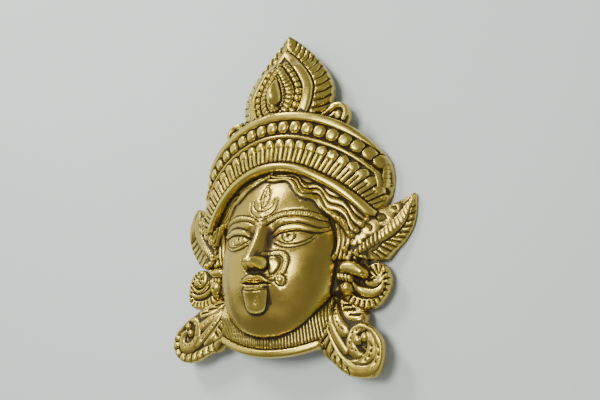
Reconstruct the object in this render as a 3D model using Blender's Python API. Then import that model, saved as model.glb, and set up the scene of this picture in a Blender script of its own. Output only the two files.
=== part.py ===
"""Kali mask: one hollow brass casting that lies on its back, face up, with the crown towards +Y.

The front is a height over a flat drawing. The drawing is 250 units tall, x to the right,
y to the crown and z out of the face, and a unit is a 250th of the mask's height.
"""
import math

import bmesh
import bpy
import numpy as np

HEIGHT = 0.250              # from the lower scrolls to the tip of the finial, metres
WALL = 0.004                # thickness of the cast metal, metres
DRAWN_HEIGHT = 250.0        # height of the drawing, units
CELL = 1.25                 # spacing of the modelling grid, units
FAR = 50.0                  # distance given to points that are nowhere near the outline, units
TRIANGLES = 9600            # facets of the finished solid
UNIT = HEIGHT / DRAWN_HEIGHT

# Face, units of the drawing like all sizes below
FACE_HALF_WIDTH = 50.0
FACE_HALF_HEIGHT = 56.0
FACE_MIDDLE = 77.0          # height of the face's widest line
FACE_TOP = 34.5             # how far the cheeks' middle stands out
FACE_SIDE = 5.0             # how far the face's sides stand out
FACE_ROUND = 2.2            # power of the oval
NOSE_TIP = 70.0
NOSE_BRIDGE = 98.0
NOSE_RISE = 12.0
EYE_X, EYE_Y = 24.0, 85.6
EYE_HALF_LENGTH, EYE_HALF_WIDTH = 12.6, 5.0
MOUTH_Y = 55.5
TONGUE_TIP = 36.1
TONGUE_HALF_WIDTH = 9.1     # at the lips
TONGUE_NARROWING = 3.2      # how much less it is at the tip
TONGUE_RISE = 5.2

# Crown: arcs about one centre on the middle line, by their radius
CROWN_CENTRE = 66.0
CROWN_RISE = 25.0
CROWN_SIDE = 2.5            # height of the crown's side edges
RIM_INNER, RIM_OUTER = 69.0, 75.5
PETAL_INNER, PETAL_OUTER = 76.0, 91.5
CORD_RADIUS = 94.5
BEAD_RADIUS = 101.5
TOP_RIM_INNER, TOP_RIM_OUTER = 106.5, 113.5
PITCH = 5.6                 # degrees from bead to bead, and from petal to petal
BEAD_COUNT = 20
PETAL_COUNT = 24
PETAL_OFFSET = 0.125        # share of a pitch that the petals lie left of the beads
BEAD_HALF_WIDTH = 4.5
FLARE_START = 25.0          # degrees; from here to the right end the crown widens

# Finial: nested teardrops
FINIAL_WIDEST = 197.0
FINIAL_HALF_WIDTH = 40.5
FINIAL_TIP = 249.5
FINIAL_BOTTOM = 150.0       # hidden by the crown
FINIAL_EDGE, FINIAL_RISE = 15.0, 12.0
FINIAL_POWER = 1.55
GEM_WIDEST, GEM_HALF_WIDTH = 191.5, 5.6
CURL_TOP = 15.0

# Ear leaves, ear volutes, lower scrolls and collar
LEAF_INNER, LEAF_OUTER = 13.0, 3.5
VOLUTE_TOP = 8.0
CAP_TOP = 17.2
SCROLL_TOP = 14.1
SCROLL_TUCK = 8.0           # how far the scrolls' upper ends fall behind the ears
COLLAR_MIDDLE, COLLAR_CORNER = 22.0, 17.0
COLLAR_BOTTOM = 7.6         # lowest point, in the middle
COLLAR_CURVE = 8.0          # how much higher its corners are
COLLAR_HALF_WIDTH = 41.0
SKIRT = 3.5                 # width of the edge that is turned back to the lying plane
SKIRT_LOW, SKIRT_HIGH = 73.0, 147.0     # the turned edge's span up the mask
SKIRT_INNER = 56.0          # and its least distance from the middle line

BRASS = (0.52, 0.37, 0.13, 1.0)
BRASS_ROUGHNESS = 0.32

RIGHT, LEFT = 1, -1
# The casting is a little uneven from side to side, so both sides are drawn
CROWN_HALF_WIDTH = {RIGHT: 83.5, LEFT: 80.5}
HAIR_EDGE = {
    RIGHT: [(-1, 128.2), (5.3, 127.2), (11, 127.8), (16.1, 126.6), (20.8, 122.7), (23.1, 118.9),
            (27.7, 114.5), (33.5, 113.3), (37.5, 110.8), (40.6, 106.2), (44, 102.5), (49, 99.3),
            (53.8, 95.2), (57, 91), (59, 86.5)],
    LEFT: [(1, 129.5), (6.6, 129), (12.6, 125.9), (19.4, 122.4), (24.4, 117.9), (28, 115.8),
           (32.1, 115.1), (37, 111), (40.5, 106), (44, 102), (48, 98.5), (51.5, 94), (55, 88)]}
LEAF_OUTLINE = {
    RIGHT: [(58, 84), (61, 76), (70, 72), (80.6, 72.2), (86.6, 78.2), (92.2, 84), (96.8, 91),
            (99.4, 98.4), (100.2, 106.6), (99.6, 115), (94, 112.8), (87.6, 109.4), (82, 107),
            (77, 105), (71.4, 100.4), (66, 96.4), (61.4, 91)],
    LEFT: [(56, 85), (58, 75), (67, 71), (78, 73), (92, 85), (98.5, 98), (98.5, 110), (92, 121),
           (83, 119), (78, 114.5), (72, 108), (67, 100), (60, 93)]}
SCROLL_OUTLINE = {
    RIGHT: [(40.5, 16), (50, 7), (60, 0.8), (68, -0.5), (78, 0.3), (82.5, 4.5), (85, 13), (84, 22),
            (78.5, 29), (72.5, 32), (71.5, 37), (68, 40.5), (58, 46), (48, 50), (42, 38)],
    LEFT: [(41, 14.5), (55, 7.5), (65, 2.5), (76, 0.5), (85, 3.5), (91, 11), (90.5, 20),
           (85, 26), (76, 34), (70, 40), (58, 45), (48, 49), (42, 38)]}
VOLUTE_OUTLINE = {
    RIGHT: [(52, 62), (53, 50), (60, 43), (69, 40.5), (78, 43.5), (84.5, 52), (85.5, 61),
            (81.5, 68.5), (75, 70.5), (68, 67.5), (60, 69)],
    LEFT: [(52, 62), (53, 50), (60, 43.5), (69, 40.5), (79, 40.5), (85, 45), (87, 53), (86.5, 61),
           (83.5, 67), (77, 70.5), (70, 69), (61, 69)]}
RIGHT_LEAF = {
    "rib": ([(63.6, 76.9), (68.4, 80), (73.5, 83.8), (78.5, 87), (83.5, 90.7), (88, 95), (92.1, 99.8),
             (95.8, 106), (98.8, 112.5)], [1.8, 2.6, 3.1, 3.4, 3.6, 3.8, 3.6, 2.8, 0.8]),
    "scallops": [(72.3, 93.4, 5.0), (80.3, 100.4, 5.5), (87.2, 105.6, 3.2), (66.5, 86.5, 3.4)],
    "barbs": [((76.7, 77.8), (83.2, 73)), ((81.1, 82.7), (89.6, 79.5)), ((87.1, 86.6), (93.8, 86.4)),
              ((92.7, 92.8), (97.6, 94)), ((96.8, 101.2), (99.8, 103.4))]}
LEFT_LEAF = {
    "rib": ([(58.2, 76.6), (66.4, 82.8), (75.6, 90), (84.2, 98.2), (89, 106.2), (90.2, 113), (89, 118)],
            [1.6, 2.7, 3.2, 3.4, 3.2, 2.6, 1.2]),
    "scallops": [(72.6, 103.4, 4.2), (64.2, 96, 4.4), (57, 90, 4.0), (80, 110.6, 3.4)],
    "barbs": [((68, 79), (74, 72.8)), ((77.6, 85.6), (85.4, 78.8)), ((85.4, 93), (92.8, 88)),
              ((91.2, 102.2), (97, 98.4)), ((93.4, 111.6), (97.6, 108.6))]}
RIGHT_EAR = {
    "disc": (76.6, 61.8, 9.4, 9.0),
    "crescents": [([(61.4, 57.2), (64.5, 53.6), (69.3, 51.6), (74.6, 51.4), (79.2, 54), (82, 58.3)],
                   [0.8, 2.3, 2.9, 2.7, 2.2, 1.2])],
    "fringe": ([(56, 50), (61, 46), (68, 44.2), (75, 44.8), (80.8, 48.4), (83.4, 53.6), (84, 59), (83, 64)],
               [2.6, 3.4, 3.7, 3.6, 3.2, 2.6, 2.2, 1.6]),
    "cap": [(52.2, 66.5), (53.8, 70.2), (60, 71.2), (65.7, 69.5), (70.6, 65.6), (72.2, 62), (69.7, 59.9),
            (65, 61), (59, 63), (53.6, 63.6)],
    "band": [(51.6, 61.5), (54.3, 61.2), (57, 60.8), (59.8, 60.2)],
    "drop": (56.8, 54.1, 3.8, 3.8)}
LEFT_EAR = {
    "disc": (76.4, 63.6, 7.2, 6.8),
    "crescents": [([(66, 61), (69, 57), (73, 54), (78.5, 53.6), (82.6, 57)], [0.8, 1.6, 1.9, 1.8, 1.2]),
                  ([(62, 58), (64.5, 54.5), (70, 51), (76.5, 49.8), (82, 51.5), (84.5, 56)],
                   [0.6, 1.3, 1.8, 1.8, 1.6, 1.2])],
    "fringe": ([(57, 51), (61.5, 47), (67, 44.4), (74, 43.3), (80, 44), (84, 48), (85, 54), (84.6, 60),
                (82, 66)], [2.4, 3.0, 3.2, 3.2, 3.0, 2.6, 2.4, 2.2, 1.6]),
    "cap": [(61.5, 66.1), (59.5, 69.3), (54.1, 70.3), (47.7, 69.8), (45.6, 66.3), (48, 63.3), (57.1, 63.3)],
    "band": [(52, 60.8), (55, 61.4), (58.4, 61.2), (61.4, 60)],
    "drop": (56.8, 56.6, 5.6, 5.4)}
RIGHT_SCROLL = {
    "border": ([(43, 37), (43.5, 30), (45.5, 23), (49, 16.5), (54, 10.5), (60.5, 6), (68, 3.6), (75.5, 4.2),
                (81, 8.3), (83, 15), (82, 22), (78.5, 27.5), (74, 29.5)],
               [1.5, 2.6, 3.6, 4, 4, 4, 3.6, 3.4, 3.2, 3, 2.8, 2.4, 1.4]),
    "bands": [([(63.5, 9.3), (68.5, 8.3), (73.5, 9), (77.5, 12.5), (78.5, 17), (76.5, 20.5)],
               [0.8, 1.8, 2.4, 2.4, 2, 1.2], 1.9),
              ([(74, 30), (69.5, 29.3), (65, 26.5), (63, 21.5), (64, 16.5), (67.5, 13.2), (70.5, 13.5)],
               [1.4, 2.2, 2.6, 2.7, 3, 2.6, 1.5], 2.5),
              ([(45.8, 43), (47, 35), (50, 27), (54.5, 20), (59.3, 15)], [0.6, 1.5, 2, 2.6, 2], 2.4),
              ([(47.8, 44), (50.5, 37), (54, 31), (57.3, 27)], [0.6, 1.9, 2.8, 3.3], 2.5),
              ([(50.2, 47.5), (53, 41.5), (57.5, 36.5), (63, 33.5), (68.5, 34), (70.3, 37)],
               [0.6, 1.7, 2, 1.7, 1.7, 1.6], 2.4),
              ([(52, 45.8), (57, 44), (61.5, 42.5), (62.5, 40)], [0.8, 1, 1.3, 1.2], 2.3),
              ([(58, 39.2), (62, 38.8), (66, 39), (69, 38)], [0.8, 1, 1.3, 1.4], 2.1)],
    "balls": [(68.5, 21.8, 3.3), (73.6, 24, 3.1)]}
LEFT_SCROLL = {
    "border": ([(44, 17.5), (50, 13), (58, 9.3), (64, 6.3), (71, 4.3), (78, 3.9), (84, 5.8), (87.6, 10),
                (88.4, 16), (86.6, 22), (82, 27.5), (77, 31.5)],
               [1.6, 3, 3.6, 3.4, 3.2, 3.0, 2.8, 2.8, 3, 2.8, 2.2, 1.4]),
    "bands": [([(43, 36), (41.5, 31), (42, 26), (45, 22), (49, 18.5)], [1.6, 2.8, 3.4, 3.2, 2.0], 2.4),
              ([(45, 40), (50, 31.5), (56, 24.6), (62, 18.5), (66.5, 13.5)], [0.6, 2, 2.7, 2.6, 1.6], 2.4),
              ([(44.5, 45), (50, 37.6), (57, 31.5), (62.5, 27.5)], [0.6, 2.4, 3.2, 3.0], 2.5),
              ([(44.5, 47.5), (50, 43), (56.5, 38.5), (62, 35.5), (67, 34.3), (69, 37), (67.5, 40), (64, 41)],
               [0.6, 1.4, 1.7, 1.7, 1.6, 1.5, 1.3, 1.1], 2.4),
              ([(47, 46.5), (52, 45), (57, 43.5), (58.5, 41.5), (55, 39.8)], [0.7, 1.1, 1.3, 1.2, 1], 2.3),
              ([(76, 32.5), (70.5, 31), (67.5, 26.5), (67.3, 20), (69.5, 14.5), (74, 11.5), (79.5, 11.5),
                (82.5, 15), (82, 20), (79, 23)], [1.2, 2.2, 2.4, 2.6, 3.2, 3.4, 3.2, 2.6, 2.4, 1.5], 2.5)],
    "balls": [(77.3, 27, 2.9), (74.3, 22.3, 3.0)]}


def smooth_curve(points, closed=False, steps=6):
    """points on a Catmull-Rom curve that passes through the given points"""
    given = np.array(points, float)
    if closed:
        before, start = np.roll(given, 1, 0), given
        end, after = np.roll(given, -1, 0), np.roll(given, -2, 0)
    else:
        ends = np.vstack([2 * given[0] - given[1], given, 2 * given[-1] - given[-2]])
        before, start, end, after = ends[:-3], ends[1:-2], ends[2:-1], ends[3:]
    before, start, end, after = (a[:, None, :] for a in (before, start, end, after))
    t = (np.arange(steps) / steps)[None, :, None]
    curve = 0.5 * (2 * start + (end - before) * t
                   + (2 * before - 5 * start + 4 * end - after) * t ** 2
                   + (3 * start - before - 3 * end + after) * t ** 3)
    curve = curve.reshape(-1, 2)
    return curve if closed else np.vstack([curve, given[-1]])


def mirrored(points, side):
    return [(side * x, y) for x, y in points]


def distance(path, x, y):
    """distance from a path, and the share of the path's length at the nearest point"""
    path = np.asarray(path, float)
    total = np.hypot(*np.diff(path, axis=0).T).sum()
    nearest = np.full(x.shape, np.inf)
    share = np.zeros(x.shape)
    passed = 0.0
    for (ax, ay), (bx, by) in zip(path[:-1], path[1:]):
        length = math.hypot(bx - ax, by - ay)
        if length < 1e-9:
            continue
        ux, uy = (bx - ax) / length, (by - ay) / length
        along = np.clip((x - ax) * ux + (y - ay) * uy, 0, length)
        away = np.hypot(x - ax - along * ux, y - ay - along * uy)
        share = np.where(away < nearest, (passed + along) / total, share)
        nearest = np.minimum(nearest, away)
        passed += length
    return nearest, share


def inside(outline, x, y):
    """true where a level line to the right crosses the outline an odd number of times"""
    odd = np.zeros(x.shape, bool)
    for (ax, ay), (bx, by) in zip(outline, np.roll(outline, -1, 0)):
        if ay != by:
            odd ^= ((ay > y) != (by > y)) & (x < (bx - ax) * (y - ay) / (by - ay) + ax)
    return odd


def signed_distance(outline, x, y):
    """distance from a closed outline, negative inside it"""
    away = distance(np.vstack([outline, outline[:1]]), x, y)[0]
    return np.where(inside(outline, x, y), -away, away)


def ramp(low, high, value):
    """0 below low, 1 above high and a smooth rise between"""
    t = np.clip((value - low) / (high - low), 0, 1)
    return t * t * (3 - 2 * t)


def round_off(depth, radius):
    """how far a rounded edge lies below its plate, at a depth inside the outline"""
    reach = np.clip(radius - depth, 0, radius)
    return radius - np.sqrt(radius ** 2 - reach ** 2)


def spaced(path, pitch, start=0.0):
    """points at even steps along a path, with the path's direction at each"""
    path = np.asarray(path, float)
    length = np.concatenate([[0], np.cumsum(np.hypot(*np.diff(path, axis=0).T))])
    at = np.arange(start, length[-1], pitch)
    points = np.column_stack([np.interp(at, length, path[:, k]) for k in (0, 1)])
    ahead = np.column_stack([np.interp(at + 0.4, length, path[:, k]) for k in (0, 1)])
    behind = np.column_stack([np.interp(at - 0.4, length, path[:, k]) for k in (0, 1)])
    way = ahead - behind
    return points, way / np.maximum(np.hypot(*way.T)[:, None], 1e-6)


class Front:
    """height of the mask's front over the drawing, and the signed distance from its outline"""

    def __init__(self):
        half_width, low, high = 106.0, -3.0, 253.0
        self.x, self.y = np.meshgrid(np.arange(-half_width, half_width + CELL / 2, CELL),
                                     np.arange(low, high, CELL))
        self.z = np.full(self.x.shape, -FAR)
        self.layer = np.zeros(self.x.shape)
        self.around = np.zeros(self.x.shape)
        self.edge = np.full(self.x.shape, FAR)

    def near(self, points, margin):
        """the part of the grid around some points"""
        low = np.min(points, axis=0) - margin - CELL
        high = np.max(points, axis=0) + margin + CELL
        columns = np.flatnonzero((self.x[0] > low[0]) & (self.x[0] < high[0]))
        rows = np.flatnonzero((self.y[:, 0] > low[1]) & (self.y[:, 0] < high[1]))
        return np.s_[rows[0]:rows[-1] + 1, columns[0]:columns[-1] + 1]

    def plate(self, outline, top, rounding=2.0):
        """adds a plate with a rounded edge; top is its height, or gives it from x and y"""
        part = self.near(outline, 6)
        x, y = self.x[part], self.y[part]
        gap = signed_distance(outline, x, y)
        height = (top(x, y) if callable(top) else top) - round_off(-gap, rounding)
        cover = np.clip(0.5 - gap / CELL, 0, 1)
        below = self.z[part]
        raised = below + (np.maximum(height, below) - below) * cover
        self.z[part] = np.where(below > -FAR / 2, raised, np.where(gap < 0, height, -FAR))
        self.around[part] = np.where(gap < self.edge[part], height, self.around[part])
        self.edge[part] = np.minimum(self.edge[part], gap)

    def closed(self):
        """height inside the outline, carried on just beyond it"""
        return np.where(self.edge < 0, self.z, self.around)

    def reach(self, points, widths, side=RIGHT, curved=True):
        """grid part near a path, and distance from the path as a share of its half width there"""
        given = np.array(mirrored(points, side), float)
        path = smooth_curve(given) if curved and len(given) > 2 else given
        widths = np.atleast_1d(np.asarray(widths, float))
        part = self.near(path, widths.max())
        away, share = distance(path, self.x[part], self.y[part])
        if len(widths) == 1:
            return part, away / widths[0]
        length = np.concatenate([[0], np.cumsum(np.hypot(*np.diff(path, axis=0).T))])
        knots = np.linspace(0, len(path) - 1, len(widths))
        at = np.interp(knots, np.arange(len(path)), length / length[-1])
        return part, away / np.interp(share, at, widths)

    def cord(self, points, widths, rise, side=RIGHT, curved=True, power=2.6):
        """a rounded cord in the layer; where cords overlap the higher one stays"""
        part, reach = self.reach(points, widths, side, curved)
        height = rise * np.sqrt(np.clip(1 - reach ** power, 0, 1))
        self.layer[part] = np.maximum(self.layer[part], height)

    def dome(self, x, y, across, along, rise, turn=0.0, power=2.0, flat=1.0):
        """a dome in the layer with two half widths, turned by an angle; over 1, flat evens its top"""
        part = self.near([(x, y)], max(across, along) * 1.2)
        cos, sin = math.cos(math.radians(turn)), math.sin(math.radians(turn))
        u, v = self.x[part] - x, self.y[part] - y
        reach = np.abs((u * cos + v * sin) / across) ** power
        reach += np.abs((v * cos - u * sin) / along) ** power
        height = rise * np.sqrt(np.clip(1 - reach ** flat, 0, 1))
        self.layer[part] = np.maximum(self.layer[part], height)

    def settle(self):
        """adds the layer to the surface and starts a new one"""
        self.z += self.layer
        self.layer[:] = 0

    def groove(self, points, widths, depth, side=RIGHT, curved=True):
        """cuts a soft groove along a path"""
        part, reach = self.reach(points, widths, side, curved)
        self.z[part] -= depth * ramp(1, 0.15, reach)

    def swell(self, x, y, across, along, rise, turn=0.0):
        """lifts the surface in a soft bell shape with two widths"""
        cos, sin = math.cos(math.radians(turn)), math.sin(math.radians(turn))
        u, v = self.x - x, self.y - y
        reach = ((u * cos + v * sin) / across) ** 2 + ((v * cos - u * sin) / along) ** 2
        self.z += rise * np.exp(-reach / 2)


def face_surface(x, y):
    """an oval dome whose sides lie back and whose chin and brow stay forward"""
    reach = np.abs(y - FACE_MIDDLE) / (FACE_HALF_HEIGHT + 6)
    middle = 12 + (FACE_TOP - 12) * np.clip(1 - reach ** 2.4, 0, 1) ** (1 / 2.4)
    side = FACE_SIDE + 22 * reach ** 2
    across = np.abs(x / FACE_HALF_WIDTH) ** FACE_ROUND
    along = np.abs((y - FACE_MIDDLE) / FACE_HALF_HEIGHT) ** FACE_ROUND
    share = across / np.clip(1 - along, 1e-3, 1)
    return side + (middle - side) * np.clip(1 - share, 0, 1) ** (1 / 2.1)


def face(front):
    """the oval dome with nose, eyes, brows, mouth, tongue and nose ring"""
    angles = np.radians(np.arange(0, 360, 4))
    power = 2 / FACE_ROUND
    outline = np.column_stack([
        FACE_HALF_WIDTH * np.sign(np.cos(angles)) * np.abs(np.cos(angles)) ** power,
        FACE_MIDDLE + FACE_HALF_HEIGHT * np.sign(np.sin(angles)) * np.abs(np.sin(angles)) ** power])
    front.plate(outline, face_surface, 0.5)
    for side in (RIGHT, LEFT):
        front.swell(side * 25, 62, 12, 12, 1.8)
    front.swell(0, 31, 11, 6, 1.8)
    nose(front)
    for side in (RIGHT, LEFT):
        eye(front, side)
    mouth(front)
    nose_ring(front)


def nose(front):
    """a ridge whose rise grows down to the tip, with a wing on each side"""
    down = np.clip((NOSE_BRIDGE - front.y) / (NOSE_BRIDGE - NOSE_TIP), 0, 1)
    half_width = 3.3 + 2.9 * down ** 1.5
    rise = (2.5 + (NOSE_RISE - 2.5) * down ** 1.4) * ramp(NOSE_BRIDGE + 12, NOSE_BRIDGE - 4, front.y)
    rise *= ramp(NOSE_TIP - 7.5, NOSE_TIP - 1, front.y)
    front.z += rise * np.exp(-0.5 * (np.abs(front.x) / half_width) ** 2.4)
    for side in (RIGHT, LEFT):
        front.dome(side * 6.3, NOSE_TIP - 1.8, 3.9, 4.3, 3.2)
    front.settle()


def eye(front, side):
    """a socket, the eyeball between two lids, and an arched brow"""
    front.swell(side * (EYE_X - 1), EYE_Y + 2.4, 14, 6.5, -2.0)
    front.swell(side * 8.5, EYE_Y + 2, 3.2, 6, -1.8)
    lid = [(10.5, 88.2), (15.5, 91), (22.7, 92.6), (29, 92.8), (35, 91.5), (41, 91)]
    front.cord(lid, [0.6, 1.9, 2.5, 2.5, 1.7, 0.7], 1.5, side)
    under = [(12.5, 82), (18, 79.9), (24.8, 79.1), (30.6, 80.4), (35.8, 83.4)]
    front.cord(under, [0.8, 1.4, 1.6, 1.4, 0.8], 1.0, side)
    front.dome(side * EYE_X, EYE_Y, EYE_HALF_LENGTH, EYE_HALF_WIDTH, 1.9, side * 4, 2.2)
    brow = [(3, 96.2), (10, 99.8), (18, 102), (27, 102.3), (35, 101.6), (40.6, 99.8), (43.5, 99.2)]
    front.cord(brow, 2.2, 1.0, side)
    front.settle()


def mouth(front):
    """two lips, and a tongue that hangs from them like a short half round tile"""
    front.swell(0, MOUTH_Y + 1, 11, 7, 2.4)
    upper = [(-11.2, 0.3), (-7, 2.9), (-3, 4.1), (0, 3.4), (3, 4.1), (7, 2.9), (11.8, 0.3)]
    lower = [(-9.5, -1.2), (-5, -2.9), (0, -3.3), (5, -2.9), (9.5, -1.3)]
    front.cord([(x, MOUTH_Y + y) for x, y in upper], [0.6, 1.8, 2.3, 2.2, 2.3, 1.8, 0.6], 2.0)
    front.cord([(x, MOUTH_Y + y) for x, y in lower], [0.7, 1.8, 2.2, 1.8, 0.7], 2.2)
    front.settle()
    front.groove([(-11.5, MOUTH_Y), (0, MOUTH_Y - 0.5), (12, MOUTH_Y)], 1.3, 1.6)
    root = MOUTH_Y - 3.3
    half_width = TONGUE_HALF_WIDTH - TONGUE_NARROWING * ramp(root - 2, TONGUE_TIP - 1, front.y)
    side = np.clip(1 - np.abs(front.x / half_width) ** 2.2, 0, 1) ** 0.5
    end = np.clip((root - 7 - front.y) / (root - 7 - TONGUE_TIP), 0, 1)
    stand = TONGUE_RISE * side * np.sqrt(1 - end ** 5)
    front.z += np.where(front.y < root, stand, 0)


def nose_ring(front):
    """a flat hoop beside the nose, a shield in it and a round drop at its lower end"""
    hoop = [(7.7, 74.2), (13.6, 75.1), (19.3, 74.8), (22.4, 71.8), (22.6, 67.4), (21.2, 62.9), (18.4, 60.6)]
    front.cord(hoop, [1.4, 1.7, 1.9, 1.9, 1.9, 1.8, 1.4], 1.0)
    front.cord([(13.6, 70.2), (14.8, 67), (13.2, 63.2)], [3.0, 3.4, 2.0], 1.0, power=4)
    front.dome(19.7, 57.2, 3.4, 3.4, 1.4)
    front.settle()


def crown_surface(x, y):
    """the crown is bent around the head, so it falls away to both sides"""
    reach = x / np.where(x > 0, CROWN_HALF_WIDTH[RIGHT], CROWN_HALF_WIDTH[LEFT])
    return CROWN_SIDE + CROWN_RISE * np.clip(1 - reach ** 2, 0, 1) ** 0.62


def flare(angle):
    """how much wider the crown's inner and outer arcs are at an angle; only its right end flares"""
    inner = 1 + 0.12 * np.clip((angle - FLARE_START - 3) / 35, 0, 1.1) ** 1.6
    outer = 1 + 0.045 * np.clip((angle - FLARE_START + 3) / 28, 0, 1) ** 1.2
    return inner, outer


def crown_arc(radius, start, end, steps=28):
    """points of one of the crown's arcs, angles in degrees from the middle line"""
    angle = np.linspace(start, end, steps)
    inner, outer = flare(angle)
    reach = radius * (inner if radius < PETAL_INNER else outer)
    turn = np.radians(angle)
    return np.column_stack([reach * np.sin(turn), CROWN_CENTRE + reach * np.cos(turn)])


def crown_polar(x, y):
    """radius and angle about the crown's centre, with the flare taken out"""
    radius = np.hypot(x, y - CROWN_CENTRE)
    angle = np.degrees(np.arctan2(x, y - CROWN_CENTRE))
    inner, outer = flare(angle)
    low, high = PETAL_INNER * inner, PETAL_OUTER * outer
    grown = inner + (outer - inner) * np.clip((radius - low) / (high - low), 0, 1)
    return radius / grown, angle + 0.5 * np.clip((angle - 28) / 10, 0, None) ** 2


def ridge(distance_from_middle, half_width, rise, power=2.0):
    return rise * np.sqrt(np.clip(1 - np.abs(distance_from_middle / half_width) ** power, 0, 1))


def crown(front):
    """rims, petals and cord by their radius and angle about the crown's centre, and a row of beads"""
    angle = np.linspace(-42.6, 46.5, 60)
    outer = np.interp(angle, (33, 36.3, 41, 46.5), (TOP_RIM_OUTER, 112.7, 112, 110.2))
    inner = np.interp(angle, (28, 34, 39.6, 43.6, 46.5), (TOP_RIM_INNER, 107, 107.9, 109.1, 110))
    way = np.column_stack([np.sin(np.radians(angle)), np.cos(np.radians(angle))])
    right_side = [(82.4, 137.8), (83.8, 133), (84.5, 127.5), (84.4, 121), (83, 114.9), (80.4, 109.6),
                  (75.5, 100)]
    left_side = [(-69.7, 97.5), (-80.1, 115), (-80.5, 127), (-79.3, 135)]
    outline = np.vstack([way * outer[:, None] + (0, CROWN_CENTRE), right_side, crown_arc(RIM_INNER, 64, -62),
                         left_side])
    front.plate(outline, crown_surface, 1.5)
    on_crown = signed_distance(outline, front.x, front.y) < 0
    middle = way * (outer + inner)[:, None] / 2 + (0, CROWN_CENTRE)
    front.cord(middle, (outer - inner) / 2, 2.6, curved=False, power=3.2)
    radius, angle = crown_polar(front.x, front.y)
    layer = ridge(radius - (RIM_INNER + RIM_OUTER) / 2, (RIM_OUTER - RIM_INNER) / 2, 3.0, 2.4)
    layer = np.maximum(layer, ridge(radius - CORD_RADIUS, 1.75, 2.0))
    step = angle / PITCH + PETAL_OFFSET
    across = np.abs(step - np.round(step)) * np.radians(PITCH) * radius
    share = np.clip(across / (np.radians(PITCH) * radius / 2), 0, 1)
    tip = np.clip((PETAL_OUTER + 1 - 2.4 * share ** 1.6 - radius) / 2.4, 0, 1)
    body = 2.1 * np.sqrt(np.clip(1 - share ** 2.6, 0, 1)) * np.sqrt(1 - (1 - tip) ** 2)
    body *= ramp(PETAL_INNER - 0.4, PETAL_INNER + 1.6, radius)
    shown = (step > 0.5 - PETAL_COUNT / 2) & (step < 0.5 + PETAL_COUNT / 2)
    layer = np.maximum(layer, np.where(shown, body, 0))
    front.layer = np.maximum(front.layer, layer)
    for index in range(-(BEAD_COUNT // 2), BEAD_COUNT // 2):
        angle = PITCH * index - 0.45 * max(0, (PITCH * index - 28) / 10) ** 2
        turn = math.radians(angle)
        reach = BEAD_RADIUS * flare(angle)[1]
        front.dome(reach * math.sin(turn), CROWN_CENTRE + reach * math.cos(turn), BEAD_HALF_WIDTH,
                   BEAD_HALF_WIDTH, 3.3, -angle, 2.6, 1.4)
    front.z += np.where(on_crown, front.layer, 0)
    front.layer[:] = 0


def teardrop(half_width, tip, bottom, widest=FINIAL_WIDEST, steps=14):
    """closed teardrop: a pointed top over the widest line and half an oval below it"""
    rise = np.linspace(0, 1, steps)
    upper = np.column_stack([half_width * (1 - rise ** FINIAL_POWER), widest + (tip - widest) * rise])
    turn = np.radians(np.linspace(0, 90, steps)[1:])
    lower = np.column_stack([half_width * np.cos(turn), widest - (widest - bottom) * np.sin(turn)])
    half = np.vstack([lower[::-1], upper])
    return np.vstack([half, (half * (-1, 1))[-2:0:-1]])


def nested(half_width):
    """the right half of the teardrop of that half width, from its foot up to its tip"""
    widths = (5.4, 8.0, 12.5, 15.5, 18.6, 22.0, 25.2, 30.0, 40.5)
    tip = np.interp(half_width, widths, (207.5, 211, 216, 219.5, 224.5, 228.5, 231.5, 236, 249.5))
    bottom = np.interp(half_width, widths, (185, 181, 177, 174, 171, 168, 165, 160, 150))
    widest = np.interp(half_width, (5.4, 15.5, 30.0), (191.5, 194.5, FINIAL_WIDEST))
    whole = teardrop(half_width, tip, bottom, widest)
    return whole[:len(whole) // 2 + 1]


def finial(front):
    """nested teardrops: a feathered border, a plain band, a bead chain, a pebbled band and a gem"""
    outline = teardrop(FINIAL_HALF_WIDTH, FINIAL_TIP, FINIAL_BOTTOM)

    def surface(x, y):
        depth = np.clip(-signed_distance(outline, x, y), 0, None)
        lean = 4.5 * ramp(214, 226, y) * ramp(250, 240, y) * (1 - np.exp(-depth / 6))
        swell = 4.0 * np.exp(-(x / 10) ** 2 - ((y - GEM_WIDEST - 3.5) / 15) ** 2)
        return FINIAL_EDGE + FINIAL_RISE * (1 - np.exp(-depth / 14)) - lean + swell

    front.plate(outline, surface, 1.2)
    for side in (RIGHT, LEFT):
        curl = [(36, 184), (41, 185.5), (47, 184.5), (52.5, 181.5), (55.5, 175), (53, 166), (40, 160)]
        front.plate(smooth_curve(mirrored(curl, side), closed=True), CURL_TOP, 1.6)
    for side in (RIGHT, LEFT):
        front.cord(nested(25.2), 3.4, 1.7, side, False, 4)
        front.cord(nested(18.6), 2.1, 1.6, side, False)
        front.cord(nested(12.2), 2.9, 1.5, side, False)
        front.cord([(34, 172), (38, 177.5), (44, 181.6), (50, 181.2), (53.4, 176), (51.5, 170)],
                   [1.4, 2.4, 2.7, 2.6, 2.2, 1.6], 2.4, side)
        front.dome(side * 47.6, 173.8, 3.4, 4.0, 2.8)
    gem(front)
    front.dome(0, GEM_WIDEST - 9.2, 3.7, 3.7, 3.9)
    front.settle()
    for side in (RIGHT, LEFT):
        front.groove(nested(29.4), 1.3, 1.2, side, False)
        front.groove(nested(7.4), 1.3, 1.0, side, False)
        barbs(front, side)


def gem(front):
    """a smooth drop: pointed above and round below, domed across"""
    above = np.clip((front.y - GEM_WIDEST) / 16, 0, 1)
    below = np.clip((GEM_WIDEST - front.y) / 6.8, 0, 1)
    half_width = GEM_HALF_WIDTH * np.where(front.y > GEM_WIDEST, 1 - above ** 1.6, np.sqrt(1 - below ** 2))
    across = np.clip(1 - (front.x / np.maximum(half_width, 1e-3)) ** 2, 0, 1)
    front.layer = np.maximum(front.layer, 6.4 * np.sqrt(across) * (half_width / GEM_HALF_WIDTH) ** 0.6)


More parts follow.
